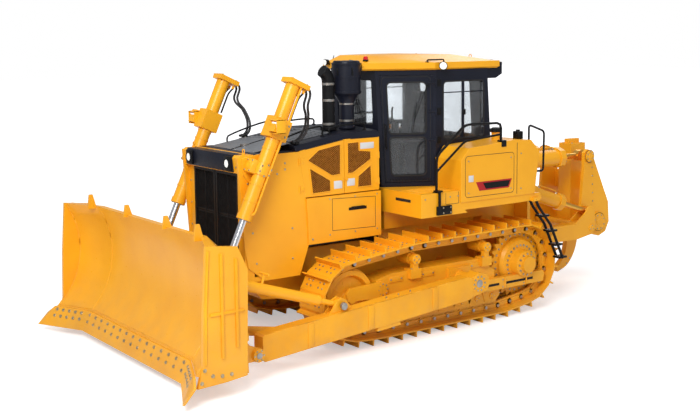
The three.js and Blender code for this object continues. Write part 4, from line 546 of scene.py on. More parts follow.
def blocks(mesh, place, rows, edge):
    """Boxes whose corners are given in one place's own terms."""
    for low, high in rows:
        block(mesh, place(*low), place(*high), edge)


def plate(mesh, corners, thickness, edge=0.0, flip=False):
    """A flat sheet between corners, given thickness along its own normal."""
    verts = [mesh.verts.new(c) for c in (corners[::-1] if flip else corners)]
    face = bmesh.ops.contextual_create(mesh, geom=verts)["faces"][0]
    face.normal_update()
    push = face.normal * thickness
    grown = bmesh.ops.extrude_face_region(mesh, geom=[face])["geom"]
    bmesh.ops.translate(mesh, verts=[g for g in grown if isinstance(g, bmesh.types.BMVert)], vec=push)
    if edge:
        round_off(mesh, [g for g in grown if isinstance(g, bmesh.types.BMEdge)], edge)


def bolts_at(mesh, spots, direction, size):
    """A washer and a hexagonal head on every spot."""
    direction = Vector(direction).normalized()
    for spot in spots:
        boss(mesh, Vector(spot), direction, 0, size * 0.25, size * 1.35, 12)
        boss(mesh, Vector(spot), direction, size * 0.2, size * 0.95, size, 6, size * 0.93)


def bolt_circle(mesh, centre, direction, radius, count, size):
    """Bolts round a centre."""
    turn = along(direction).to_3x3()
    bolts_at(mesh, ring(Vector(centre), radius, count, 0.0, turn @ X, turn @ Y), direction, size)


def hose(mesh, points, radius, sides=10):
    """A round tube along a smooth curve through the points."""
    curve = bpy.data.curves.new("route", "CURVE")
    curve.dimensions = "3D"
    curve.bevel_depth, curve.bevel_resolution = radius, sides // 4
    curve.use_fill_caps = True
    spline = curve.splines.new("BEZIER")
    spline.bezier_points.add(len(points) - 1)
    for knot, point in zip(spline.bezier_points, points):
        knot.co = point
        knot.handle_left_type = knot.handle_right_type = "AUTO"
    spline.resolution_u = 6
    route = bpy.data.objects.new("route", curve)
    scene.collection.objects.link(route)
    tube = bpy.data.meshes.new_from_object(route.evaluated_get(bpy.context.evaluated_depsgraph_get()))
    mesh.from_mesh(tube)
    bpy.data.objects.remove(route)
    bpy.data.curves.remove(curve)
    bpy.data.meshes.remove(tube)


def sleeve(mesh, start, end, inner, outer, sides=32):
    """A hollow collar round the line between two points."""
    axis = end - start
    across = axis.orthogonal().normalized()
    outline = ((start, inner), (end, inner), (end, outer), (start, outer))
    corners = [mesh.verts.new(spot + across * radius) for spot, radius in outline]
    edges = [mesh.edges.new(pair) for pair in zip(corners, corners[1:] + corners[:1])]
    bmesh.ops.spin(mesh, geom=corners + edges, cent=start, axis=axis.normalized(), angle=2 * math.pi,
                   steps=sides, use_merge=True)


def bent(mesh, points, radius, corner, sides=12):
    """A round rail along straight runs that turn in short curves."""
    points = [Vector(point) for point in points]
    route = [points[0]]
    for before, here, after in zip(points, points[1:], points[2:]):
        start, end = (here + way.normalized() * min(corner, way.length * 0.45)
                      for way in (before - here, after - here))
        for k in range(6):
            s = k / 5
            route.append(start.lerp(here, s).lerp(here.lerp(end, s), s))
    chain(mesh, route + [points[-1]], radius, sides)


def steps(low, high, count):
    """Evenly spaced values from low to high."""
    return [low + (high - low) * k / (count - 1) for k in range(count)]


# %% Pieces, and seats on the solids
SURFACES = {}
ABOVE, OUTSIDE, AHEAD = 5.0, 3.0, 4.9  # clear of the machine: lines that look for a surface start there


def piece(mesh, name, body, finish, bevel=0.0, smooth_angle=38):
    """The bmesh becomes an object of one finish that rides on a body."""
    bmesh.ops.remove_doubles(mesh, verts=mesh.verts, dist=2e-6)
    bmesh.ops.recalc_face_normals(mesh, faces=mesh.faces)
    data = bpy.data.meshes.new(name)
    mesh.to_mesh(data)
    mesh.free()
    data.materials.append(finish)
    data.shade_smooth()
    data.set_sharp_from_angle(angle=math.radians(smooth_angle))
    made = bpy.data.objects.new(name, data)
    scene.collection.objects.link(made)
    if bevel:
        edge = made.modifiers.new("edges", "BEVEL")
        edge.width, edge.segments, edge.limit_method = bevel, 2, "ANGLE"
        edge.angle_limit = math.radians(35)
    if body:
        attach(made, body)
    return made


def pieces(body, prefix="", **made):
    """Pieces of one body: each has its mesh, its finish and perhaps a bevel."""
    for name, (mesh, finish, *bevel) in made.items():
        piece(mesh, prefix + name, body, finish, *bevel)


def seat_on(name, start, direction):
    """Where a straight line first meets a CAD node, and the node's outward normal there."""
    if name not in SURFACES:
        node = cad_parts[name]
        SURFACES[name] = BVHTree.FromPolygons([node.matrix_world @ v.co for v in node.data.vertices],
                                              [p.vertices[:] for p in node.data.polygons])
    direction = Vector(direction).normalized()
    spot, normal, _, _ = SURFACES[name].ray_cast(Vector(start), direction)
    if spot is None:
        raise ValueError(f"nothing of {name} at {tuple(round(v, 3) for v in start)}")
    return spot, (normal if normal.dot(direction) < 0 else -normal)


def hit(name, start, direction):
    """The spot alone."""
    return seat_on(name, start, direction)[0]


def top_of(name, place, x, y):
    """The highest spot of a node at x and y."""
    return hit(name, place(x, y, ABOVE), -Z)


def wall_of(name, to, out, x, z):
    """The outermost spot of a node at x and z, on one side."""
    return hit(name, to(x, OUTSIDE, z), -out)


def bolts_on(mesh, name, starts, direction, size):
    """A bolt wherever a line from each start meets a node."""
    for start in starts:
        spot, normal = seat_on(name, start, direction)
        bolts_at(mesh, [spot - normal * SUNK], normal, size)


def bead(mesh, name, starts, direction, radius=0.006):
    """A weld bead that follows a node's surface under a row of lines."""
    chain(mesh, [hit(name, start, direction) for start in starts], radius)


print("helpers ready")

# %% [markdown]
# ## Chain links, pins and shoe bolts
# The CAD track is the belt of shoes and the two smooth rails behind them. A real chain is a row of forged links,
# each joined to the next by a pin, and each shoe is held by four bolts. The links go round the same wheels as the
# belt, so the belt's path is worked out once and every link, pin and bolt is placed by its distance along it.

# %% The path of the belt
GAUGE_HALF = 1.07
SHOE_COUNT = 40
RAIL_DEEP = 0.145  # from the shoe's outer face to the surface that the wheels roll on
GROUSER_TALL = 0.076
ROLLER_R = 0.110
ROLLER_LEVEL = GROUSER_TALL + RAIL_DEEP + ROLLER_R
SPROCKET_X, SPROCKET_Z = -1.500, 0.730
IDLER_X, IDLER_Z = 1.600, 0.646
CARRIER_X, CARRIER_Z = 0.553, 1.058
WHEELS = [(-1.050, ROLLER_LEVEL, ROLLER_R), (SPROCKET_X, SPROCKET_Z, 0.445), (CARRIER_X, CARRIER_Z, 0.095),
          (IDLER_X, IDLER_Z, 0.395), (1.260, ROLLER_LEVEL, ROLLER_R)]


def belt_runs():
    """Arcs and straights, each as its length and a function of distance to (x, z, angle of the outward normal)."""
    circles = [(x, z, r + RAIL_DEEP) for x, z, r in WHEELS]
    after = circles[1:] + circles[:1]
    tangents = [math.atan2(w - z, u - x) + math.acos((r - q) / math.hypot(u - x, w - z))
                for (x, z, r), (u, w, q) in zip(circles, after)]
    runs = []
    for k, (x, z, r) in enumerate(circles):
        start = tangents[k - 1]
        turn = (start - tangents[k]) % (2 * math.pi)
        runs.append((turn * r, lambda s, x=x, z=z, r=r, start=start: (
            x + r * math.cos(start - s / r), z + r * math.sin(start - s / r), start - s / r)))
        u, w, q = after[k]
        a = tangents[k]
        first = Vector((x + r * math.cos(a), z + r * math.sin(a)))
        last = Vector((u + q * math.cos(a), w + q * math.sin(a)))
        length = (last - first).length
        runs.append((length, lambda s, first=first, last=last, length=length, a=a: (
            *(first + (last - first) * (s / length)), a)))
    return runs


RUNS = belt_runs()
BELT_LENGTH = sum(length for length, _ in RUNS)
PITCH_LENGTH = BELT_LENGTH / SHOE_COUNT


def on_belt(distance):
    """The spot of the belt's outer face at a distance along it."""
    s = distance % BELT_LENGTH
    for length, spot in RUNS:
        if s <= length:
            return spot(s)
        s -= length
    return RUNS[-1][1](RUNS[-1][0])


def shoe_seats():
    """For each shoe, the turn and place of its outer face: local X runs along it and local Z points outwards."""
    corners = [Vector(on_belt(k * PITCH_LENGTH)[:2]) for k in range(SHOE_COUNT)]
    seats = []
    for corner, following in zip(corners, corners[1:] + corners[:1]):
        step = following - corner
        run, out = step.normalized(), Vector((-step.y, step.x)).normalized()
        turn = Matrix(((run.x, 0, out.x), (0, 1, 0), (run.y, 0, out.y))).to_4x4()
        seats.append((Matrix.Translation(at(corner.x, 0, corner.y)) @ turn, step.length))
    return seats


SEATS = shoe_seats()
print("belt", round(BELT_LENGTH, 3), "m, shoe pitch", round(PITCH_LENGTH * 1000, 1), "mm")

# %% Links, pins and bolts
LINK_THICK = 0.016
LINK_DEEP = RAIL_DEEP - 0.062  # from the shoe's outer face to the pins
EYE_RADIUS = 0.043


def dog_bone(mesh, seat, length, y):
    """A forged link: two round eyes and a waist between them."""
    for share in (0.0, 1.0):
        boss(mesh, seat @ Vector((length * share, y, -LINK_DEEP)), Y, 0, LINK_THICK, EYE_RADIUS, 14)
    low, high = Vector((0.0, 0.0, -LINK_DEEP - 0.034)), Vector((length, LINK_THICK * 0.8, -LINK_DEEP + 0.03))
    heart = seat @ (Vector((0, y, 0)) + (low + high) / 2)
    brick(mesh, heart, (high - low) / 2, 0.006, seat.to_3x3().to_4x4(), 1)


for label, side, out, to in SIDES:
    links, pins, bolts = shapes(3)
    middle_y = side * GAUGE_HALF
    for seat, length in SEATS:
        for rail in (0.117, -0.133):
            dog_bone(links, seat, length, middle_y + rail)
        centre = seat @ Vector((0, middle_y, -LINK_DEEP))
        for reach, radius in ((0.152, 0.024), (0.07, 0.036)):
            boss(pins, centre, Y, -reach, reach, radius, 12)
        spots = [seat @ Vector((length * share, middle_y + across, -0.002))
                 for across in (-0.17, -0.085, 0.085, 0.17) for share in (0.42, 0.72)]
        bolts_at(bolts, spots, seat.to_3x3() @ Z, 0.0115)
    pieces("tractor", f"{label}_", chain_links=(links, low_yellow), chain_pins=(pins, bare_steel),
           shoe_bolts=(bolts, bolt_steel))
print("links", 4 * SHOE_COUNT, "shoe bolts", 16 * SHOE_COUNT)

# %% [markdown]
# ## Sprocket, idler and rollers
# The final drive ends in a round cover held by rings of bolts. Its teeth are segments bolted to a rim. The idler
# and the rollers turn on dead shafts, so each has a cap with its own small bolts and a plug for oil.

# %% Wheels of the undercarriage
FRAME_FACE = GAUGE_HALF + 0.164  # the outer face of the roller caps' seats
PAD_Y = GAUGE_HALF + 0.162  # the outer face of the frame's pads
ROLLER_GAP = 0.290
ROLLER_XS = [1.130 - k * ROLLER_GAP for k in range(8)]
for label, side, out, to in SIDES:
    bolts, caps, casting = shapes(3)
    outer = max(abs(corner.y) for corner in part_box(f"{label}_sprocket"))
    boss(caps, to(SPROCKET_X, outer - SUNK, SPROCKET_Z), out, -0.02, 0.0, 0.105, 32, 0.098)
    for y, radius, count, size in ((GAUGE_HALF + 0.128, 0.262, 24, M14), (outer - 0.052, 0.155, 12, M12),
                                   (GAUGE_HALF + 0.034, 0.415, 27, 0.013)):
        bolt_circle(bolts, to(SPROCKET_X, y, SPROCKET_Z), out, radius, count, size)
    rim = to(SPROCKET_X, GAUGE_HALF + 0.0345, SPROCKET_Z)
    for start, end in zip(*(ring(rim, radius, 9, math.pi / 9) for radius in (0.385, 0.45))):
        bar(casting, start, end, 0.006, 6)
    hub = to(IDLER_X, GAUGE_HALF + 0.158, IDLER_Z)
    boss(caps, hub, out, -0.02, 0.022, 0.062, 24, 0.056)
    bolt_circle(bolts, hub, out, 0.09, 6, M10)
    web = to(IDLER_X, GAUGE_HALF + 0.05, IDLER_Z)
    for start, end in zip(ring(web - out * 0.005, 0.15, 10), ring(web - out * 0.012, 0.292, 10)):
        bar(casting, start, end, 0.013, 8, 0.009)
    for x in ROLLER_XS:
        shaft = to(x, FRAME_FACE, ROLLER_LEVEL)
        boss(caps, shaft, out, -0.02, 0.012, 0.047, 16, 0.043)
        bolt_circle(bolts, shaft + out * 0.012, out, 0.030, 3, 0.006)
    for x, z in ((CARRIER_X, CARRIER_Z), (-0.754, 1.068)):
        head = to(x, GAUGE_HALF + 0.225, z)
        bolt_circle(bolts, head, out, 0.042, 4, M8)
        boss(caps, head, out, -0.01, 0.008, 0.024, 12)
        bolts_at(bolts, [to(x + shift, GAUGE_HALF + 0.185, 0.927) for shift in (-0.060, 0.060)], Z, M12)
    pieces("tractor", f"{label}_", wheel_bolts=(bolts, bolt_steel), wheel_caps=(caps, low_yellow, 0.003),
           wheel_ribs=(casting, low_yellow))
print("rollers", 2 * len(ROLLER_XS))

# %% [markdown]
# ## Track frame
# The frame is a welded box. Its roller guards hang below it in bays with triangular gussets, a long slot in the
# outer rail is a black strip, painted shade for the rail's hollow, and the recoil spring behind the idler sits in a
# bolted round housing.

# %% Guards, gussets and recoil housing
RAIL_Y = 1.302
for label, side, out, to in SIDES:
    welded, bolts, dark = shapes(3)
    for x in ROLLER_XS[:-1]:
        mid = x - ROLLER_GAP / 2
        corners = [to(mid - 0.075, FRAME_FACE, 0.475), to(mid + 0.075, FRAME_FACE, 0.475), to(mid, FRAME_FACE, 0.262)]
        plate(welded, corners, 0.012, 0.003, side < 0)
        bolts_at(bolts, [to(mid + shift, FRAME_FACE + 0.012, 0.452) for shift in (-0.04, 0.04)], out, M10)
    for x in [1.0 - 0.42 * k for k in range(7)]:
        if abs(x + 0.25) > 0.24:  # clear of the arm's trunnion
            block(welded, to(x - 0.011, RAIL_Y - 0.002, 0.43), to(x + 0.011, RAIL_Y + 0.012, 0.575), 0.003)
            bolts_at(bolts, [to(x + 0.045, RAIL_Y, z) for z in (0.452, 0.555)], out, M9)
    # Black strips in the outer rail: painted shade for the hollow behind its slots.
    blocks(dark, to, [((start, RAIL_Y - 0.006, 0.484), (end, RAIL_Y + 0.004, 0.520))
                      for start, end in ((-0.98, -0.52), (-1.66, -1.12))], 0.004)
    housing = to(1.09, GAUGE_HALF + 0.151, 0.71)
    boss(welded, housing, out, -0.01, 0.02, 0.098, 28, 0.090)
    bolt_circle(bolts, housing + out * 0.02, out, 0.076, 8, M9)
    for x in (0.86, 0.30, -0.60):
        block(welded, to(x - 0.12, GAUGE_HALF + 0.148, 0.78), to(x + 0.12, PAD_Y, 0.86), 0.004)
        bolts_at(bolts, [to(x + shift, PAD_Y, 0.82) for shift in (-0.09, 0.09)], out, M10)
    pieces("tractor", f"{label}_", frame_gussets=(welded, low_yellow), frame_bolts=(bolts, bolt_steel),
           rail_slots=(dark, black_paint))
print("gussets", 2 * (len(ROLLER_XS) - 1))

# %% [markdown]
# ## Blade
# The cutting edge is bolted on, so that it can be turned when it wears. The curved face is rolled in three
# plates, with a weld where the wings fold forward. Ribs stiffen the back, and a strip stiffens each end plate.

# %% Blade bolts, welds and ribs
EDGE_BOLT = 0.017
OUTER = 2.065  # the blade's end plates
CORNER_BOLTS = ((4.24, 0.40), (4.14, 0.32), (4.02, 0.30), (3.9, 0.30), (4.28, 0.26))
bolts, welds, ribs = shapes(3)
middle_row = [at(AHEAD, y, z) for y in steps(-1.38, 1.38, 15) for z in (0.225, 0.315)]
bolts_on(bolts, "cutting_edge", middle_row, -X, EDGE_BOLT)
for label, side, out, to in SIDES:
    end_row = [to(AHEAD, y, z) for y in steps(1.56, 1.98, 5) for z in (0.235, 0.315)]
    bolts_on(bolts, "cutting_edge", end_row, -X, EDGE_BOLT)
    bead(welds, "blade", [to(AHEAD, 1.46, z) for z in steps(0.37, 1.77, 22)], -X)
    bead(welds, "blade", [to(AHEAD, 2.012, z) for z in steps(0.37, 1.76, 22)], -X, 0.008)
    chain(ribs, [to(4.165, OUTER, 1.74), to(4.205, OUTER, 1.10), to(4.222, OUTER, 0.46)], 0.016, 10)
    blocks(ribs, to, [((3.80, OUTER - 0.01, 0.60), (3.835, OUTER + 0.022, 1.62)),
                      ((3.99, OUTER - 0.01, 0.50), (4.025, OUTER + 0.022, 1.70)),
                      ((3.72, OUTER - 0.01, 1.00), (4.16, OUTER + 0.018, 1.035))], 0.005)
    bolts_on(bolts, "blade", [to(x, OUTSIDE, z) for x, z in CORNER_BOLTS], -out, EDGE_BOLT)
blocks(ribs, at, [((3.622, -2.0, z), (3.667, 2.0, z + 0.09)) for z in (0.62, 1.40)], 0.008)
blocks(ribs, at, [((3.612, y - 0.02, 0.45), (3.667, y + 0.02, 1.46))
                  for y in (-1.80, -1.36, -0.62, -0.18, 0.18, 0.62, 1.36, 1.80)], 0.006)
bead(welds, "blade", [at(AHEAD, y, 0.372) for y in steps(-2.0, 2.0, 31)], -X, 0.007)
pieces("blade_frame", "blade_", bolts=(bolts, bolt_steel), welds=(welds, blade_paint), ribs=(ribs, low_yellow))
print("edge bolts", 15 * 2 + 20)

# %% [markdown]
# ## Push arms, brace and tilt cylinder
# Each arm turns on a ball at the track frame, closed by a bolted round cap, and is pinned to the blade behind a
# round cover. Straps of plate are welded round the box where the loads come in.

# %% Caps, pins and straps
STAY_Y = 1.55  # the brace and the tilt cylinder
for label, side, out, to in SIDES:
    caps, bolts, pins = shapes(3)
    arm = f"{label}_push_arm"
    spot = wall_of(arm, to, out, -0.25, 0.68)
    boss(caps, spot, out, -0.01, 0.006, 0.128, 32, 0.122)
    boss(pins, spot, out, -0.004, 0.010, 0.060, 24, 0.054)
    bolt_circle(bolts, spot + out * 0.006, out, 0.098, 10, M11)
    spot = hit("blade", to(3.345, 1.9, 0.336), -out)  # from inside the blade's end plate
    boss(caps, spot, out, -0.01, 0.045, 0.088, 28, 0.080)
    boss(pins, spot, out, 0.03, 0.052, 0.042, 20, 0.038)
    bolt_circle(bolts, spot + out * 0.045, out, 0.062, 6, M9)
    for x in (0.55, 1.62, 2.55):
        top, foot = top_of(arm, to, x, 1.60), hit(arm, to(x, 1.60, -ABOVE), Z)
        wall = wall_of(arm, to, out, x, (top.z + foot.z) / 2)
        block(caps, (wall.x - 0.045, wall.y - side * 0.004, foot.z + 0.012),
              (wall.x + 0.045, wall.y + side * 0.010, top.z - 0.012), 0.004)
    bead(caps, arm, [to(x, 1.672, ABOVE) for x in steps(0.0, 3.1, 16)], -Z)
    for x in (0.9, 1.1, 1.3):
        spot, normal = seat_on(arm, to(x, 1.58, ABOVE), -Z)
        boss(bolts, spot, normal, 0, 0.02, 0.012, 12, 0.010)
    for x, z, reach in ((2.04, 0.714, 0.100), (3.50, 1.185, 0.132)):
        for way in (1, -1):
            head = at(x, side * STAY_Y + way * reach, z)
            boss(pins, head, Y * way, 0, 0.030, 0.052, 20, 0.046)
            bolt_circle(bolts, head + Y * way * 0.026, Y * way, 0.030, 3, 0.006)
    pieces("blade_frame", f"{label}_", arm_caps=(caps, low_yellow, 0.002), arm_bolts=(bolts, bolt_steel),
           arm_pins=(pins, bare_steel))
print("pins", 2 * 6)

# %% Hoses and gland of the tilt cylinder
gland, lines = shapes(2)
heel, head = at(2.04, -STAY_Y, 0.714), at(3.50, -STAY_Y, 1.185)
aim = (head - heel).normalized()
rise = aim.cross(Y).normalized() * (-1 if aim.cross(Y).z < 0 else 1)
bolt_circle(gland, heel + aim * 1.105, aim, 0.066, 8, M8)
for across in (-0.03, 0.03):
    route = [(0.42, 0.09, 0), (0.37, 0.15, 0), (0.02, 0.22, 0.02), (-0.42, 0.12, 0.03), (-0.62, 0, 0.03)]
    hose(lines, [heel + aim * on + rise * over + Y * (across + shift) for on, over, shift in route], 0.014)
pieces("blade_frame", tilt_gland_bolts=(gland, bolt_steel), tilt_hoses=(lines, rubber))
print("tilt cylinder length", round((head - heel).length, 3))

# %% [markdown]
# ## Lift cylinders
# Each barrel hangs in a trunnion on the guard. Steel pipes carry the oil along it, held by clamps, and two hoses
# join its cap to the hood. A lamp in a box frame looks forward over the blade.

# %% Barrels, pipes and lamps
LIFT_FROM, LIFT_TO = Vector((2.733, 0.889, 2.42)), Vector((3.430, 0.889, 0.910))
LIFT_AIM = (LIFT_TO - LIFT_FROM).normalized()
LIFT_SIDE = LIFT_AIM.cross(Y).normalized()
if LIFT_SIDE.x > 0:
    LIFT_SIDE = -LIFT_SIDE  # towards the rear of the machine
LIFT_TURN = Matrix((-LIFT_SIDE, Y, LIFT_AIM)).transposed().to_4x4()
LAMP_HALF = 0.088
CAP_TOP = -1.2195
BAND_INNER, BAND_OUTER = 0.0895, 0.0965
PIPE_RUN = ((-1.10, 0.150), (-1.02, 0.118), (-0.9, 0.112), (-0.72, 0.112))  # along the barrel, and behind it


def lift_spot(side, distance, back=0.0, across=0.0):
    """A point beside a lift cylinder: along it from its trunnion, towards the rear, and outboard."""
    spot = LIFT_FROM + LIFT_AIM * distance + LIFT_SIDE * back
    return at(spot.x, side * (spot.y + across), spot.z)


for label, side, out, to in SIDES:
    bolts, fittings, pipes, bracket, lamp, shine = shapes(6)
    for distance in (-0.40, -0.28, 0.20, 0.42):
        sleeve(fittings, lift_spot(side, distance - 0.014), lift_spot(side, distance + 0.014), BAND_INNER, BAND_OUTER)
    for across in (-0.055, 0.055):
        run = [lift_spot(side, d, b, across) for d, b in PIPE_RUN]
        hose(pipes, run, 0.013)
        boss(fittings, run[0], LIFT_AIM, 0.004, -0.045, 0.022, 6)
    bolt_circle(bolts, lift_spot(side, 0.668), LIFT_AIM, 0.080, 10, M9)
    cap = [lift_spot(side, CAP_TOP, b, y) for b in (0.15, -0.085) for y in (-0.085, 0.0, 0.085)]
    bolts_at(bolts, cap, -LIFT_AIM, M12)
    bolts_at(bolts, [lift_spot(side, d, b, 0.1075) for d in (-0.63, -0.48) for b in (0.09, -0.09)], out, M11)
    trunnion = ring(to(2.733, 1.6, 2.42), 0.075, 6)
    bolts_at(bolts, [hit(f"{label}_lift_barrel", spot, -out) - out * SUNK for spot in trunnion], out, M10)
    heart = lift_spot(side, 0.0, -0.125, -0.045)
    brick(fittings, heart, (0.055, 0.078, 0.088), 0.010, LIFT_TURN)
    boss(fittings, heart, -LIFT_SIDE, 0.05, 0.066, 0.052, 28, 0.046)
    face = heart - LIFT_SIDE * 0.0545
    bolts_at(bolts, [face + LIFT_AIM * u + Y * v for u in (-0.066, 0.066) for v in (-0.056, 0.056)], -LIFT_SIDE, M10)
    centre = lift_spot(side, -0.56, -0.105, 0.185)
    half = Vector((0.055, LAMP_HALF, LAMP_HALF))
    low, high = centre - half, centre + half
    for z0, z1, y0, y1 in ((low.z, low.z + 0.012, low.y, high.y), (high.z - 0.012, high.z, low.y, high.y),
                           (low.z, high.z, low.y, low.y + 0.012), (low.z, high.z, high.y - 0.012, high.y)):
        block(bracket, (low.x, y0, z0), (high.x + 0.02, y1, z1), 0.002)
    block(bracket, (low.x - 0.006, low.y, low.z), (low.x + 0.006, high.y, high.z), 0.002)
    for mesh, x0, x1, inset, edge in ((lamp, low.x + 0.02, high.x - 0.005, 0.018, 0.012),
                                      (shine, high.x - 0.012, high.x + 0.004, 0.028, 0.006)):
        block(mesh, (x0, low.y + inset, low.z + inset), (x1, high.y - inset, high.z - inset), edge)
    pieces(f"{label}_lift_cylinder", f"{label}_", lift_bolts=(bolts, bolt_steel),
           lift_bands=(fittings, yellow_paint, 0.002), lift_pipes=(pipes, black_paint),
           lamp_bracket=(bracket, yellow_paint), lamp_body=(lamp, black_paint), lamp_face=(shine, lamp_light))
print("lift cylinder", round((LIFT_TO - LIFT_FROM).length, 3), "m long between pins")

# %% Lift hoses
CLAMP_X, CLAMP_Y = 2.08, 0.654
for label, side, out, to in SIDES:
    lines, clamp = shapes(2)
    foot = to(CLAMP_X, CLAMP_Y, 0)
    foot.z = top_of("hood", to, CLAMP_X, CLAMP_Y).z
    for way in (1, -1):
        top = lift_spot(side, -1.19, 0.19, way * 0.045)
        shift = side * way * 0.034
        route = [top, top + LIFT_SIDE * 0.055 + LIFT_AIM * 0.02, top + LIFT_SIDE * 0.10 + LIFT_AIM * 0.20,
                 Vector((foot.x - 0.10, side * (0.80 + way * 0.03), foot.z + 0.36)),
                 Vector((foot.x - 0.115, side * (0.70 + way * 0.035), foot.z + 0.14)),
                 foot + Vector((-0.02, shift, 0.03)), foot + Vector((0.05, shift, 0.02))]
        hose(lines, route, 0.0165, 12)
        if way == 1:
            hose_start, hose_end = route[0].copy(), route[-3].copy()
    block(clamp, foot + Vector((-0.03, -0.066, -0.002)), foot + Vector((0.03, 0.066, 0.034)), 0.004)
    bolts_at(clamp, [foot + Vector((0, way * 0.052, 0.034)) for way in (1, -1)], Z, M10)
    tubes = piece(lines, f"{label}_hoses", None, rubber)
    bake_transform(tubes)
    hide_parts(f"{label}_lift_hoses")
    pieces("tractor", f"{label}_", hose_clamp=(clamp, black_paint))
print("hose foot", [round(v, 3) for v in foot])

# %% [markdown]
# ## Mesh
# Expanded mesh covers the hot parts. A mesh panel is two rows of thin bars that cross, cut off where they meet the
# outline of the panel, over a dark back, painted shade for the space behind the mesh, and inside a raised rim.

# %% Mesh helper


def crossings(outline, origin, way):
    """Where a line through origin crosses a closed outline of (u, v) points, as distances along it."""
    found = []
    for (ax, ay), (bx, by) in zip(outline, outline[1:] + outline[:1]):
        edge = (bx - ax, by - ay)
        across = way[0] * edge[1] - way[1] * edge[0]
        if abs(across) < 1e-9:
            continue
        gap = (ax - origin[0], ay - origin[1])
        share = (gap[0] * way[1] - gap[1] * way[0]) / across
        if 0 <= share < 1:
            found.append((gap[0] * edge[1] - gap[1] * edge[0]) / across)
    return sorted(found)


def mesh_panel(wires, rims, outline, place, spacing, radius, rim=0.007, slope=0.62):
    """Crossed wires inside an outline; place turns (u, v) into a point on the surface."""
    us, vs = [p[0] for p in outline], [p[1] for p in outline]
    reach = (max(us) - min(us)) + (max(vs) - min(vs))
    for way in ((math.cos(slope), math.sin(slope)), (math.cos(slope), -math.sin(slope))):
        for k in range(-int(reach / spacing), int(reach / spacing) + 1):
            origin = ((min(us) + max(us)) / 2 - way[1] * k * spacing, (min(vs) + max(vs)) / 2 + way[0] * k * spacing)
            found = crossings(outline, origin, way)
            for start, end in zip(found[::2], found[1::2]):
                if end - start > 0.01:
                    ends = [place(origin[0] + way[0] * s, origin[1] + way[1] * s) for s in (start, end)]
                    bar(wires, *ends, radius, 4)
    chain(rims, [place(*p) for p in outline], rim, closed=True)


print("mesh helper ready")

# %% [markdown]
# ## Engine doors
# Each door has two windows of brown mesh, a seam and hinges on one side and a latch on the other. The plates and
# labels on it stay blank.

# %% Door windows, hinges and labels
FRONT_WINDOWS = [[(1.94, 2.475), (1.78, 2.592), (1.42, 2.650), (1.425, 2.245), (1.56, 2.235), (1.93, 2.455)],
                 [(1.92, 2.365), (1.59, 2.176), (1.586, 2.030), (1.877, 2.022)]]
REAR_WINDOWS = [[(1.305, 2.655), (1.115, 2.662), (1.115, 2.545), (0.915, 2.520), (0.915, 2.410), (1.220, 2.245),
                 (1.305, 2.245)],
                [(0.915, 2.335), (1.130, 2.195), (1.140, 2.045), (0.900, 2.045)]]
LABEL_THICK = 0.003
WIRE_LIFT = 0.004  # the mesh lies this far in front of its door
FRONT_LABELS = [((1.395, 2.055), (1.530, 2.160))]
REAR_LABELS = [((0.86, 2.560), (1.09, 2.645)), ((1.185, 2.075), (1.315, 2.175))]
# each door's windows and labels, and where its hinges, their barrels and its latch are
ENGINE_DOORS = [("front", FRONT_WINDOWS, FRONT_LABELS, 2.03, 2.08, 1.395),
                ("rear", REAR_WINDOWS, REAR_LABELS, 0.80, 0.778, 1.325)]
for label, side, out, to in SIDES:
    for door, windows, blanks, hinge_x, barrel_x, latch_x in ENGINE_DOORS:
        node = f"{label}_{door}_engine_door"
        wires, rims, shade_backs, hinges, labels, seams = shapes(6)
        face = abs(wall_of(node, to, out, (hinge_x + latch_x) / 2, 2.2).y)
        for outline in windows:
            mesh_panel(wires, rims, outline, lambda u, v: to(u, face + WIRE_LIFT, v), 0.021, 0.0028)
            # A dark sheet under each window of mesh: painted shade for the space behind the mesh.
            plate(shade_backs, [to(u, face + SUNK, v) for u, v in outline], 0.002, flip=side < 0)
        for z in (2.10, 2.46):
            boss(hinges, to(barrel_x, face + 0.004, z), Z, -0.045, 0.045, 0.011, 14)
            block(hinges, to(hinge_x - 0.03, face, z - 0.03), to(hinge_x + 0.03, face + 0.006, z + 0.03), 0.002)
        boss(hinges, to(latch_x, face, 2.17), out, 0, 0.016, 0.020, 20)
        blocks(labels, to, [((x0, face, z0), (x1, face + LABEL_THICK, z1)) for (x0, z0), (x1, z1) in blanks], 0.001)
        low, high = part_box(node)
        top = [(x, side * (face - 0.02), ABOVE) for x in steps(low.x + 0.02, high.x - 0.10, 5)]
        chain(seams, [hit(node, spot, -Z) + out * 0.019 for spot in top], 0.005, 6)
        pieces(f"{label}_{door}_side_door", f"{label}_{door}_door_", mesh=(wires, brown_mesh),
               rims=(rims, yellow_paint), back=(shade_backs, mesh_back_shade), hinges=(hinges, yellow_paint),
               labels=(labels, white_paint), seal=(seams, seal_rubber))
print("door face at y", round(face, 4))

# %% [markdown]
# ## Radiator guard
# The front of the guard is a pair of mesh doors under a dark cross member with two headlamps. The cheeks carry
# bolts where the trunnions load them and lifting eyes on top, and a dark seam runs round the panel behind.

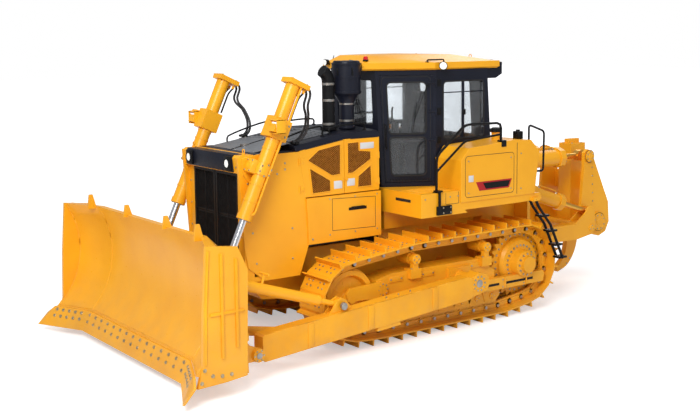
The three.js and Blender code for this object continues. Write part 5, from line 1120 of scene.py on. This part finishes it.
# %% Grille doors
for label, side, out, to in SIDES:
    wires, rims, trim = shapes(3)
    low_hit, high_hit = (hit(f"{label}_grille_door", to(AHEAD, 0.30, z), -X) for z in (1.30, 2.20))
    lean = (high_hit.x - low_hit.x) / (high_hit.z - low_hit.z)

    def on_grille(u, v):
        return Vector((low_hit.x + lean * (v - low_hit.z) + WIRE_LIFT, side * u, v))

    for v0, v1 in ((1.215, 1.765), (1.795, 2.33)):
        outline = [(0.045, v0), (0.545, v0), (0.545, v1), (0.045, v1)]
        mesh_panel(wires, rims, outline, on_grille, 0.024, 0.0032, 0.009, 0.78)
    bar(trim, on_grille(0.295, 1.22), on_grille(0.295, 2.33), 0.010, 8)
    for z in (1.36, 1.78, 2.18):
        boss(trim, on_grille(0.566, z), Z, -0.05, 0.05, 0.013, 14)
    bar(trim, on_grille(0.022, 1.70), on_grille(0.022, 1.86), 0.012, 10)
    pieces(f"{label}_grille", f"{label}_grille_", mesh=(wires, black_paint), rims=(rims, black_paint),
           trim=(trim, black_paint))
print("grille leans", round(math.degrees(math.atan(lean)), 2), "degrees")

# %% Cross member, headlamps and eyes
GUARD = "radiator_guard"
CHEEK_BOLTS = ((2.42, 2.33), (2.30, 2.46), (2.30, 2.38), (2.20, 1.60), (2.20, 1.20), (2.75, 1.20), (2.80, 1.60),
               (2.86, 2.24), (2.86, 2.02), (1.90, 1.42))
PANEL = [(0.86, 1.48), (1.58, 1.50), (1.58, 1.93), (0.86, 1.90)]


def lifting_eye(mesh, heart, radius, thick, first):
    """An upright ring of round bar."""
    chain(mesh, ring(heart, radius, 14, 0.0, first, Z), thick, closed=True)


cover, lamps, shine, bolts, eyes, seams = shapes(6)
header_x = max(hit(GUARD, at(AHEAD, 0.1, z), -X).x for z in steps(2.40, 2.58, 7))
header_top = hit(GUARD, (header_x - 0.05, 0.1, ABOVE), -Z).z
block(cover, (header_x - 0.030, -0.60, 2.385), (header_x + 0.007, 0.60, header_top + 0.004), 0.003)
block(cover, (header_x - 0.150, -0.60, header_top - 0.006), (header_x + 0.005, 0.60, header_top + 0.006), 0.003)
for label, side, out, to in SIDES:
    heart = Vector((header_x, side * 0.51, 2.49))
    block(lamps, heart - Vector((0.005, 0.080, 0.096)), heart + Vector((0.036, 0.080, 0.096)), 0.012)
    sleeve(lamps, heart + X * 0.030, heart + X * 0.046, 0.056, 0.064)
    boss(shine, heart, X, 0.030, 0.040, 0.055, 28, 0.050)
    bolts_on(bolts, GUARD, [to(x, OUTSIDE, z) for x, z in CHEEK_BOLTS], -out, M11)
    bolts_on(bolts, GUARD, [to(AHEAD, 0.665, z) for z in (1.25, 1.55, 1.85, 2.15, 2.45)], -X, M10)
    seat = top_of(GUARD, to, 2.86, 0.66)
    boss(eyes, seat, Z, -0.002, 0.022, 0.022, 16)
    lifting_eye(eyes, seat + Z * 0.046, 0.026, 0.007, Y)
    bolts_on(bolts, GUARD, [to(x, OUTSIDE, z) for x in (0.83, 1.20, 1.62) for z in (1.93, 1.45)], -out, M9)
    wall = abs(wall_of(GUARD, to, out, 1.2, 1.75).y)
    chain(seams, [to(x, wall, z) for x, z in PANEL], 0.0032, 6, closed=True)
    block(lamps, to(1.01, wall - 0.004, 1.745), to(1.31, wall + 0.004, 1.785), 0.004)
    block(lamps, to(1.05, wall, 1.775), to(1.27, wall + 0.018, 1.795), 0.006)
pieces("tractor", cross_member=(cover, navy_paint), headlamp_frames=(lamps, black_paint),
       headlamp_faces=(shine, lamp_light), guard_bolts=(bolts, bolt_steel), guard_eyes=(eyes, yellow_paint),
       panel_seams=(seams, seal_rubber))
print("cross member at", round(header_x, 3), "top at", round(header_top, 3))

# %% [markdown]
# ## Hood
# Grey panels with rows of slots lie along the top, between the dark shoulders, so that hot air leaves. Each slot
# is a small black block, painted shade for the opening. Two grab rails stand beside them on each side.

# %% Hood panels, slots and rails
panels, slots, rails, screws = shapes(4)


def on_hood(x, y, lift=0.0):
    """A spot on the hood, or above it."""
    spot, normal = seat_on("hood", at(x, y, ABOVE), -Z)
    return spot + normal * lift


for x0, x1 in ((2.10, 2.66), (1.46, 2.06)):
    for y0, y1 in ((-0.56, -0.02), (0.02, 0.56)):
        plate(panels, [on_hood(x, y, 0.002) for x, y in ((x0, y0), (x1, y0), (x1, y1), (x0, y1))], 0.006, 0.002)
        for px in steps(x0 + 0.07, x1 - 0.07, 9):
            for py in steps(y0 + 0.07, y1 - 0.07, 5):
                spot = on_hood(px, py, 0.0075)
                # Each slot is a small black block, painted shade for the opening.
                block(slots, spot - Vector((0.010, 0.034, 0.002)), spot + Vector((0.010, 0.034, 0.0012)))
        corners = [(px, py) for px in (x0 + 0.025, x1 - 0.025) for py in (y0 + 0.03, y1 - 0.03)]
        bolts_at(screws, [on_hood(*corner, 0.007) for corner in corners], Z, M8)
for y in (0.615, -0.615):
    for x0, x1, tall in ((1.62, 2.36, 0.13), (0.92, 1.50, 0.085)):
        first, last = on_hood(x1, y), on_hood(x0, y)
        hose(rails, [first, first + Z * tall * 0.8, first + Vector((-0.04, 0, tall)), last + Vector((0.04, 0, tall)),
                     last + Z * tall * 0.8, last], 0.0125, 12)
        for foot in (first, last):
            boss(rails, foot, Z, -0.004, 0.010, 0.028, 16)
bar(screws, on_hood(2.45, 0.0), on_hood(2.45, 0.0, 0.045), 0.055, 24)
bar(screws, on_hood(2.45, 0.0, 0.04), on_hood(2.45, 0.0, 0.062), 0.062, 12)
pieces("tractor", hood_panels=(panels, grey_paint), hood_slots=(slots, black_paint), hood_rails=(rails, black_paint),
       hood_screws=(screws, bare_steel))
print("hood slots", 4 * 45)

# %% Exhaust and air cleaner
PIPE_X, PIPE_Y = 1.375, 0.42
CLEANER_X, CLEANER_Y = 1.064, 0.412


def round_band(mesh, node, centre, tall, extra, sides):
    """A flat band round an upright round node, and where its tightening bolt goes."""
    low, high = hit(node, centre + X * 0.9, -X), hit(node, centre - X * 0.9, X)
    middle, wide = (low + high) / 2, (low - high).length / 2
    boss(mesh, middle, Z, -tall, tall, wide + extra, sides)
    return middle + Y * (wide + 0.004)


bands, clips, dark = shapes(3)
for z in (2.90, 3.22, 3.44):
    boss(bands, round_band(bands, "exhaust_pipe", at(PIPE_X, PIPE_Y, z), 0.016, 0.006, 28), X, -0.02, 0.02, 0.012, 8)
for z, extra in ((3.32, 0.007), (3.70, 0.009), (3.52, 0.004)):
    round_band(dark, "air_precleaner", at(CLEANER_X, CLEANER_Y, z), 0.014, extra, 40)
for spot in ring(at(CLEANER_X, CLEANER_Y, 3.60), 0.196, 6, 0.1 * math.pi, X, Y):
    brick(clips, spot, (0.012, 0.012, 0.05), 0.004)
for z in (2.93, 3.16):
    bolt = round_band(bands, "air_precleaner", at(CLEANER_X, CLEANER_Y, z), 0.014, 0.005, 32)
    boss(bands, bolt, X, -0.018, 0.018, 0.010, 8)
pieces("tractor", pipe_bands=(bands, bare_steel), cleaner_clips=(clips, black_paint), cleaner_rims=(dark, navy_paint))
print("bands", 5)

# %% [markdown]
# ## Cab
# The doors hang from the middle pillars and slant inwards to the front. Rubber holds every pane, so each window
# gets a seal that follows its opening. Handles, wipers and hinges go on the outside, and the seat, levers and
# armrests that show through the glass go inside.

# %% Seals, handles, hinges and wipers
DOOR_TURN = math.radians(29.1)
SEAL_R = 0.011
HINGE_X, HINGE_Y = -0.10, 0.93
HINGE_ZS = (2.62, 3.02, 3.42)


def on_slant(side, reach, z, proud=0.0):
    """A point on a cab door's outer side: how far in front of its hinge, how high, and how far out."""
    x = HINGE_X + reach * math.cos(DOOR_TURN) + proud * math.sin(DOOR_TURN)
    y = HINGE_Y - reach * math.sin(DOOR_TURN) + proud * math.cos(DOOR_TURN)
    return at(x, side * y, z)


def rounded_path(low_u, high_u, low_v, high_v, radius, lean=0.0, count=5):
    """Points round a rectangle with rounded corners whose high_u side leans out as it rises."""
    points = []
    for u, v, start in ((high_u - radius, high_v - radius, 0), (low_u + radius, high_v - radius, 90),
                        (low_u + radius, low_v + radius, 180), (high_u - radius, low_v + radius, 270)):
        for k in range(count):
            a = math.radians(start + 90 * k / (count - 1))
            pu, pv = u + radius * math.cos(a), v + radius * math.sin(a)
            share = (pv - low_v) / (high_v - low_v)
            points.append((pu + (lean * share if u > (low_u + high_u) / 2 else 0.0), pv))
    return points


# how far in front of the hinge's axis the door's outer face lies
DOOR_FACE = -(hit("left_cab_door", on_slant(1, 0.3, 2.09, 1.0), on_slant(1, 0, 2, -1) - on_slant(1, 0, 2))
              - on_slant(1, 0.3, 2.09)).length
UPPER_PANE = rounded_path(0.137, 0.665, 2.712, 3.433, 0.06, 0.035)
LOWER_PANE = rounded_path(0.137, 0.632, 2.127, 2.668, 0.06, 0.030)
DOOR_EDGE = rounded_path(0.078, 0.702, 2.052, 3.508, 0.05, 0.066)
SIDE_PANE = rounded_path(-1.003, -0.232, 2.617, 3.433, 0.06)
GRIP = ((0.705, 2.52, 0), (0.706, 2.52, 0.045), (0.715, 2.56, 0.055), (0.722, 2.80, 0.055), (0.722, 2.84, 0.045),
        (0.722, 2.84, 0))
WIPER = ((0.12, 3.38, 0.004), (0.14, 3.36, 0.03), (0.24, 3.10, 0.028), (0.30, 2.92, 0.020))
for label, side, out, to in SIDES:
    seals, grips, hinges = shapes(3)

    def on_door(reach, z, proud=0.0):
        return on_slant(side, reach, z, DOOR_FACE + proud)

    for path, proud, radius in ((UPPER_PANE, 0.0, SEAL_R), (LOWER_PANE, 0.0, SEAL_R), (DOOR_EDGE, -0.001, 0.005)):
        chain(seals, [on_door(u, v, proud) for u, v in path], radius, closed=True)
    hose(grips, [on_door(*spot) for spot in GRIP], 0.012, 12)
    hose(grips, [on_door(*spot) for spot in WIPER], 0.006, 8)
    bar(grips, on_door(0.27, 3.16, 0.010), on_door(0.33, 2.74, 0.010), 0.006, 6)
    bar(grips, on_door(0.12, 3.38, -0.01), on_door(0.12, 3.38, 0.022), 0.020, 16)
    for k in range(14):
        boss(grips, on_door(0.10 + 0.042 * k, 2.072), Z, -0.018, 0.018, 0.007, 6)
    for z in HINGE_ZS:
        pivot = to(HINGE_X, HINGE_Y, z)
        boss(hinges, pivot, Z, -0.055, 0.055, 0.016, 16)
        bar(hinges, pivot, on_door(0.11, z, 0.004), 0.012, 8)
        bolts_at(hinges, [on_door(0.085, z + 0.028), on_door(0.085, z - 0.028)],
                 (math.sin(DOOR_TURN), side * math.cos(DOOR_TURN), 0), M8)
    pieces(f"{label}_entry_door", f"{label}_door_", seals=(seals, seal_rubber), grips=(grips, black_paint),
           hinges=(hinges, navy_paint))
    seals, bars, latches = shapes(3)
    wall = abs(wall_of("cab", to, out, -0.62, 2.45).y)
    chain(seals, [to(u, wall + 0.001, v) for u, v in SIDE_PANE], SEAL_R, closed=True)
    block(bars, to(-0.627, wall - 0.030, 2.625), to(-0.597, wall + 0.006, 3.425), 0.003)
    block(bars, to(-0.99, wall - 0.020, 3.270), to(-0.245, wall - 0.004, 3.284), 0.002)
    block(latches, to(-0.640, wall + 0.004, 2.95), to(-0.585, wall + 0.022, 3.03), 0.005)
    for z in HINGE_ZS:
        brick(latches, to(HINGE_X - 0.060, wall, z), (0.035, 0.008, 0.05), 0.003)
    bolts_at(latches, [to(x, wall, 2.52) for x in (-1.02, -0.60, -0.18)], out, M9)
    pieces("tractor", f"{label}_window_", seal=(seals, seal_rubber), bar=(bars, navy_paint),
           latch=(latches, black_paint))
print("door seals", 2 * 3, "side windows", 2)

# %% Front and rear windows
seals, arms = shapes(2)
for node, way in (("windscreen", -X), ("rear_window", X)):
    low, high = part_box(node)
    half = min(abs(low.y), abs(high.y)) - 0.001
    bottom, top = (hit(node, (-6 * way.x, 0, z), way) for z in (low.z + 0.03, high.z - 0.03))
    tilt = (top.x - bottom.x) / (top.z - bottom.z)

    def on_pane(u, v, proud=0.0):
        return Vector((bottom.x + tilt * (v - bottom.z) - way.x * proud, u, v))

    outline = rounded_path(-half, half, low.z, high.z, 0.05)
    chain(seals, [on_pane(u, v, 0.002) for u, v in outline], 0.012, closed=True)
    for side in (1, -1) if node == "windscreen" else ():
        pivot = on_pane(side * 0.26, low.z - 0.035, 0.012)
        boss(arms, pivot, X, -0.03, 0.016, 0.018, 16)
        bar(arms, pivot + X * 0.012, on_pane(side * 0.02, low.z + 0.34, 0.022), 0.006, 8)
        bar(arms, on_pane(side * 0.06, low.z + 0.12, 0.014), on_pane(side * -0.01, low.z + 0.52, 0.014), 0.006, 6)
pieces("tractor", end_window_seals=(seals, seal_rubber), wipers=(arms, black_paint))
print("rear window tilt", round(math.degrees(math.atan(tilt)), 2))

# %% [markdown]
# ### Inside the cab
# The seat's covers are padded: each is a block cut into a grid, rounded at its edges and blown up between its
# seams, so that it swells like foam under cloth. Subdivision keeps the swelling smooth.

# %% Seat cushions


def cushion(name, low, high, swell, seams, axis=2, lean=0.0):
    """A closed pad that swells most in the middle of each panel, with sunk seams between the panels."""
    mesh = bmesh.new()
    low, high = Vector(low), Vector(high)
    middle, size = (low + high) / 2, high - low
    block(mesh, low, high)
    bmesh.ops.subdivide_edges(mesh, edges=mesh.edges[:], cuts=11, use_grid_fill=True)
    flat = [k for k in range(3) if k != axis]
    for vert in mesh.verts:
        share = [(vert.co[k] - middle[k]) / (size[k] / 2) for k in range(3)]
        crown = (1 - abs(share[flat[0]]) ** 4) * (1 - abs(share[flat[1]]) ** 4)
        dip = min([1.0] + [0.35 + abs(share[flat[1]] - seam) * 4.5 for seam in seams])
        vert.co[axis] += math.copysign(swell * crown * dip, share[axis]) if abs(share[axis]) > 0.99 else 0.0
        for k, other in (flat, flat[::-1]):
            if abs(share[k]) > 0.99:
                fall = (1 - abs(share[axis]) ** 2) * (1 - abs(share[other]) ** 6)
                vert.co[k] += math.copysign(swell * 0.5 * fall, share[k])
            edge_in = max(0.0, abs(share[axis]) - 0.6) * 0.5
            vert.co[k] -= math.copysign(edge_in * 0.030, share[k]) if abs(share[k]) > 0.9 else 0.0
        vert.co.x -= lean * max(0.0, vert.co.z - low.z)
    made = piece(mesh, name, "tractor", seat_cloth, smooth_angle=75)
    fine = made.modifiers.new("smooth", "SUBSURF")
    fine.levels = fine.render_levels = 1


cushion("seat_pad", at(-0.545, -0.235, 2.562), at(-0.065, 0.235, 2.625), 0.016, (-0.45, 0.45))
cushion("back_pad", at(-0.475, -0.215, 2.64), at(-0.395, 0.215, 3.06), 0.014, (-0.3, 0.35), 0, 0.145)
cushion("head_pad", at(-0.555, -0.115, 3.11), at(-0.500, 0.115, 3.235), 0.010, (), 0)

# %% Armrests, levers and screen
GRAB = ((2.78, -0.075), (2.80, -0.12), (2.95, -0.135), (3.06, -0.12), (3.08, -0.075))
arms, levers, screen, grabs = shapes(4)
for label, side, out, to in SIDES:
    block(arms, to(-0.50, 0.275, 2.76), to(-0.14, 0.355, 2.82), 0.018)
    block(arms, to(-0.42, 0.295, 2.50), to(-0.30, 0.335, 2.77), 0.010)
    stick = to(-0.10, 0.315, 2.80)
    bar(levers, stick, stick + Vector((0.03, 0, 0.11)), 0.009, 12)
    bar(levers, stick + Vector((0.024, 0, 0.09)), stick + Vector((0.036, 0, 0.18)), 0.020, 16, 0.024)
    boss(levers, stick, Z, -0.025, 0.03, 0.034, 18, 0.018)
    brick(levers, to(0.20, 0.12, 2.14), (0.012, 0.05, 0.07), 0.006)
    hose(grabs, [on_slant(side, 0.60, z, proud) for z, proud in GRAB], 0.013, 12)
block(screen, at(0.34, 0.10, 2.77), at(0.39, 0.30, 2.91), 0.012)
bar(screen, at(0.37, 0.20, 2.72), at(0.37, 0.20, 2.80), 0.018, 12)
for y in steps(-0.22, 0.12, 5):
    bar(screen, at(0.335, y, 2.735), at(0.325, y, 2.765), 0.014, 14)
pieces("tractor", armrests=(arms, seat_cloth), levers=(levers, black_paint), cab_grabs=(grabs, black_paint),
       instruments=(screen, black_paint))
print("levers", 2)

# %% [markdown]
# ## Roof
# The roof carries a red beacon, round work lamps, lifting eyes and a thin aerial.

# %% Lamps, beacon, eyes and aerial
SIDE_LAMP_X, ROOF_LAMP_Z = -0.16, 3.66
EYE_TALL = 0.059  # an eye stands only where it stays inside the CAD box
housings, shine, eyes, beacon, lamp_arms = shapes(5)


def on_roof(x, y):
    return top_of("cab_roof", at, x, y)


for label, side, out, to in SIDES:
    edge = abs(wall_of("cab_roof", to, out, SIDE_LAMP_X, ROOF_LAMP_Z).y)
    arm_root = on_roof(0.02, side * (edge - 0.07))
    heart = to(SIDE_LAMP_X, edge + 0.075, ROOF_LAMP_Z)
    bent(lamp_arms, [arm_root - Z * 0.003, arm_root + Z * 0.034, (heart.x, arm_root.y, arm_root.z + 0.034),
                     heart + Z * 0.085, heart + Z * 0.03], 0.010, 0.03)
    boss(lamp_arms, arm_root, Z, -0.002, 0.012, 0.028, 16)
    aim = Vector((0.80, side * 0.58, -0.12)).normalized()
    boss(housings, heart, aim, -0.045, 0.030, 0.040, 28, 0.060)
    boss(shine, heart, aim, 0.026, 0.036, 0.053, 28, 0.048)
    front = hit("cab_roof", to(AHEAD, 0.30, 3.665), -X)
    heart = front + Vector((0.062, 0, 0.045))
    bar(lamp_arms, front - X * 0.003 + Z * 0.01, heart, 0.012, 12)
    bar(housings, heart - X * 0.036, heart + Vector((0.026, 0, -0.003)), 0.036, 24, 0.047)
    bar(shine, heart + Vector((0.022, 0, -0.003)), heart + Vector((0.031, 0, -0.004)), 0.041, 24)
    for x, y in ((0.40, 0.52), (-1.02, 0.62)):
        seat = on_roof(x, side * y)
        if seat.z + EYE_TALL < cad_high.z:
            lifting_eye(eyes, seat + Z * 0.028, 0.024, 0.006, X)
            boss(eyes, seat, Z, -0.002, 0.008, 0.018, 14)
foot = on_roof(0.74, 0.42)
room = min(cad_high.z - 0.006 - foot.z, 0.20)
boss(housings, foot, Z, -0.003, room * 0.28, 0.040, 28, 0.038)
boss(beacon, foot, Z, room * 0.26, room * 0.86, 0.034, 28, 0.030)
boss(beacon, foot, Z, room * 0.84, room, 0.030, 28, 0.018)
foot = on_roof(0.70, -0.42)
bar(housings, foot - Z * 0.002, (foot.x - 0.02, foot.y, cad_high.z - 0.004), 0.008, 10, 0.004)
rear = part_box("cab")[0].x
for side in (1, -1):
    spot = hit("cab", (rear - 1.0, side * 0.62, ROOF_LAMP_Z), X)
    boss(housings, spot, X, 0.004, -0.030, 0.052, 24)
    boss(shine, spot, X, -0.024, -0.034, 0.045, 24)
pieces("tractor", roof_lamp_bodies=(housings, black_paint), roof_lamp_arms=(lamp_arms, black_paint),
       roof_lamp_faces=(shine, lamp_light), roof_eyes=(eyes, yellow_paint), beacon=(beacon, red_glass))
print("beacon height", round(room, 3))

# %% [markdown]
# ## Tanks and steps
# Each tank has a filler with a mushroom cap, a bolted door in its outer wall and a split where two halves are
# welded. The step has a raised tread of small studs, and the handrail stands in a dark socket. The plate in the
# place of the maker's sign holds a plain two-coloured stripe.

# %% Tank doors, caps, stripe and rails
TANKS = {"left": "fuel_tank", "right": "hydraulic_tank"}
TANK_DOOR = rounded_path(-1.06, -0.14, 1.86, 2.43, 0.05)
TANK_BOLTS = ((-0.20, 1.92), (-0.20, 2.36), (-1.0, 1.92), (-1.0, 2.36), (-1.2, 1.9), (-1.2, 2.4))
STRIPE = ((-1.02, 2.06), (-0.96, 1.935), (-0.40, 1.935), (-0.335, 2.06))
STRIPE_DARK = ((-0.985, 2.040), (-0.945, 1.955), (-0.52, 1.955), (-0.465, 2.040))
for label, side, out, to in SIDES:
    tank = TANKS[label]
    seams, caps, bolts, stripe, dark_stripe, labels, rails = shapes(7)
    wall = abs(wall_of(tank, to, out, -0.7, 2.1).y)

    def on_wall(x, z, proud=0.0):
        return to(x, wall + proud, z)

    chain(seams, [on_wall(u, v) for u, v in TANK_DOOR], 0.0032, closed=True)
    bar(seams, on_wall(-1.12, 1.83), on_wall(-1.12, 2.56), 0.004, 8)
    bolts_at(bolts, [on_wall(x, z, -SUNK) for x, z in TANK_BOLTS], out, M9)
    plate(stripe, [on_wall(u, v, 0.0005) for u, v in STRIPE], 0.0025, flip=side < 0)
    plate(dark_stripe, [on_wall(u, v, 0.0032) for u, v in STRIPE_DARK], 0.0015, flip=side < 0)
    block(labels, on_wall(-0.29, 2.07), on_wall(-0.20, 2.16, LABEL_THICK), 0.001)
    neck = to(-0.96, 1.23, 2.745)
    boss(caps, neck, Z, -0.04, 0.006, 0.090, 32, 0.086)
    boss(caps, neck, Z, 0.004, 0.022, 0.072, 32, 0.050)
    for rib in ring(neck - Z * 0.018, 0.088, 12, 0.0, X, Y):
        boss(caps, rib, Z, -0.018, 0.018, 0.005, 6)
    roof_of_tank = top_of(tank, to, -1.33, 1.30)
    block(caps, roof_of_tank + Vector((-0.055, -0.055, -0.004)), roof_of_tank + Vector((0.055, 0.055, 0.115)), 0.014)
    boss(caps, roof_of_tank, Z, 0.11, 0.135, 0.030, 18)
    slope, back_foot = top_of(tank, to, -1.44, 1.41), hit(tank, to(-2.4, 1.41, 2.11), X)
    bent(rails, [slope - Z * 0.003, slope + Z * 0.25, slope + Vector((-0.31, 0, 0.14)),
                 back_foot + Vector((-0.215, 0, -0.01)), back_foot + X * 0.003], 0.0155, 0.055)
    for foot, way in ((slope, Z), (back_foot, -X)):
        boss(rails, foot, way, -0.002, 0.010, 0.032, 16)
    top = top_of(tank, to, -0.86, 1.44)
    block(rails, top + Vector((-0.045, -0.028 * side, -0.070)), top + Vector((0.045, 0.070 * side, 0.022)), 0.006)
    pieces("tractor", f"{label}_", tank_seams=(seams, seal_rubber), tank_caps=(caps, black_paint),
           tank_bolts=(bolts, bolt_steel), tank_stripe=(stripe, red_paint), tank_plate=(dark_stripe, black_paint),
           tank_label=(labels, white_paint), rear_rail=(rails, black_paint))
print("tank wall at y", round(wall, 3))

# %% Treads, sockets and ladder
RAIL_R = 0.0205
LADDER = ((-1.485, 1.715), (-1.56, 1.590), (-1.800, 1.310), (-2.070, 0.778))
RUNGS = ((-1.680, 1.450), (-1.850, 1.210), (-1.965, 0.990), (-2.060, 0.790))
SOCKET_X = 0.327
STEP_SEAM = ((-0.03, 1.96), (-0.03, 1.80), (0.20, 1.80), (0.20, 1.96))
for label, side, out, to in SIDES:
    studs, socket, bolts, seams = shapes(4)
    node = f"{label}_fender"
    for row, x in enumerate(steps(0.075, 0.565, 20)):
        turn = Matrix.Rotation(0.6 if row % 2 else -0.6, 4, "Z")
        for y in steps(1.035, 1.360, 12):
            spot = top_of(node, to, x, y + (0.013 if row % 2 else 0.0))
            bmesh.ops.create_cone(studs, cap_ends=True, segments=4, radius1=0.0105, radius2=0.006, depth=0.006,
                                  matrix=Matrix.Translation(spot + Z * 0.002) @ turn)
    wall = abs(wall_of(node, to, out, SOCKET_X, 1.85).y)
    block(socket, to(0.110, wall - 0.002, 1.668), to(0.370, wall + 0.030, 1.790), 0.008)
    block(socket, to(0.282, wall - 0.060, 1.980), to(0.372, wall + 0.040, 2.004), 0.006)
    bar(socket, to(SOCKET_X, wall + 0.021, 1.995), to(SOCKET_X, wall + 0.021, 1.680), 0.0185, 16)
    bolts_at(bolts, [to(x, wall + 0.0295, z) for x in (0.135, 0.265) for z in (1.695, 1.765)], out, M9)
    bolts_at(bolts, [to(x, wall, 1.90) for x in (-0.02, 0.12, 0.56)], out, M9)
    chain(seams, [to(x, wall, z) for x, z in STEP_SEAM], 0.003, 6)
    front = hit(node, to(AHEAD, 1.1, 1.86), -X)
    block(seams, front + Vector((-0.003, -0.16, -0.02)), front + Vector((0.004, 0.16, 0.02)), 0.004)
    pieces("tractor", f"{label}_", tread_studs=(studs, yellow_paint), rail_socket=(socket, black_paint),
           step_bolts=(bolts, bolt_steel), step_seams=(seams, seal_rubber))
rungs, treads = shapes(2)
for y in (1.385, 1.510):
    chain(rungs, [at(x, y, z) for x, z in LADDER], RAIL_R, 16)
for x, z in RUNGS:
    block(rungs, at(x - 0.093, 1.376, z - 0.015), at(x + 0.063, 1.519, z + 0.014), 0.003)
    for k in range(4):
        for y in (1.405, 1.448, 1.490):
            boss(treads, at(x - 0.07 + 0.035 * k, y, z), Z, 0.012, 0.019, 0.011, 10, 0.007)
pieces("tractor", ladder_rails=(rungs, black_paint), ladder_treads=(treads, bare_steel))
print("studs", 2 * 240)

# %% [markdown]
# ## Ripper
# The ripper works hardest of all, so its pins are thick and held by bolted covers. Each cylinder ends in an
# eight-sided gland with a ring of bolts, and a pipe joins its two ends. The tooth wears, so it is held on the
# shank's tip by small steel pins.

# %% Covers, rims and bolts
CARRIAGE = "ripper_carriage"
covers, rims, bolts = shapes(3)
for label, side, out, to in SIDES:
    for x, z, radius, reach, count in ((-3.972, 0.985, 0.148, 0.118, 8), (-3.735, 2.09, 0.098, 0.074, 6)):
        face = wall_of(CARRIAGE, to, out, x, z)
        boss(covers, face, out, -0.003, 0.014, radius, 40, radius - 0.006)
        boss(covers, face, out, 0.012, 0.022, radius * 0.45, 30, radius * 0.4)
        bolts_at(bolts, ring(face + out * 0.0135, reach, count, math.pi / count), out, M10)
        # A dark ring where each cover meets the frame: a seam, drawn wide as painted shade along the cover's edge.
        chain(rims, ring(face, radius + 0.004, 36), 0.0035, 6, closed=True)
    flank = [wall_of(CARRIAGE, to, out, -3.83 - 0.05 * (1.9 - z), z) for z in steps(1.20, 1.90, 6)]
    bolts_at(bolts, flank, out, M10)
bolts_at(bolts, [top_of(CARRIAGE, at, x, y) for x in (-3.99, -3.77) for y in (-0.10, 0.10)], Z, M11)
pieces("ripper_beam", "ripper_", pin_covers=(covers, yellow_paint), cover_rims=(rims, seal_rubber),
       beam_bolts=(bolts, bolt_steel))
print("pin covers", 4)

# %% Glands, pipes and the outer pins
# each pair of cylinders: how far out it is, where it starts, where it aims, its radius and its length
CYLINDERS = {"pitch": (0.285, at(-2.405, 0, 2.085), at(-3.735, 0, 2.09), 0.135, 0.88),
             "lift": (0.59, at(-2.3, 0, 1.64), at(-3.6, 0, 1.205), 0.11, 0.72)}
for kind, (y_offset, start, end, radius, length) in CYLINDERS.items():
    bolts, pipes = shapes(2)
    node = f"ripper_{kind}_barrels"
    axis = (end - start).normalized()
    rise = Vector((-axis.z, 0, axis.x))
    rise = rise if rise.z > 0 else -rise
    for side in (1, -1):
        heart = start + Y * side * y_offset
        gland = ring(heart + axis * (length + 0.6), radius * 1.07, 8, math.radians(22.5), rise, Y)
        bolts_at(bolts, [hit(node, spot, -axis) for spot in gland], axis, M12)
        top, foot = (hit(node, heart + axis * length * share + rise, -rise) for share in (0.80, 0.22))
        for spot in (top, foot):
            boss(bolts, spot, rise, -0.004, 0.022, 0.020, 6)
        run = [spot + rise * tall for spot, tall in ((top, 0.015), (top, 0.042), (foot, 0.042), (foot, 0.015))]
        bent(pipes, run, 0.009, 0.03, 10)
    pieces(f"ripper_{kind}_cylinders", f"ripper_{kind}_", glands=(bolts, bolt_steel), pipes=(pipes, yellow_paint))
pins, pin_bolts = shapes(2)
for label, side, out, to in SIDES:
    for x, z, radius in ((-2.299, 0.94, 0.070), (-3.629, 0.945, 0.062)):
        spot = wall_of("ripper_lower_frame", to, out, x, z)
        boss(pins, spot, out, -0.003, 0.014, radius, 32, radius - 0.005)
        bolts_at(pin_bolts, ring(spot + out * 0.0135, 0.6 * radius, 3, math.pi / 2), out, M8)
pieces("ripper_arms", "ripper_arm_", pins=(pins, yellow_paint), bolts=(pin_bolts, bolt_steel))
print("glands", 4)

# %% Ripper tooth
tooth = bmesh.new()
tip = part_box("ripper_shank")[0]
for z in (tip.z + 0.04, tip.z + 0.12, tip.z + 0.20):
    rear_face = hit("ripper_shank", (tip.x - 1.0, 0, z), X)
    for side in (1, -1):
        cheek = hit("ripper_shank", (rear_face.x + 0.05, side, z), -Y * side)
        boss(tooth, cheek, Y * side, -0.002, 0.007, 0.014, 12, 0.011)
pieces("ripper_beam", ripper_tooth_pins=(tooth, bare_steel))
print("shank tip", round(tip.x, 3), round(tip.z, 3))
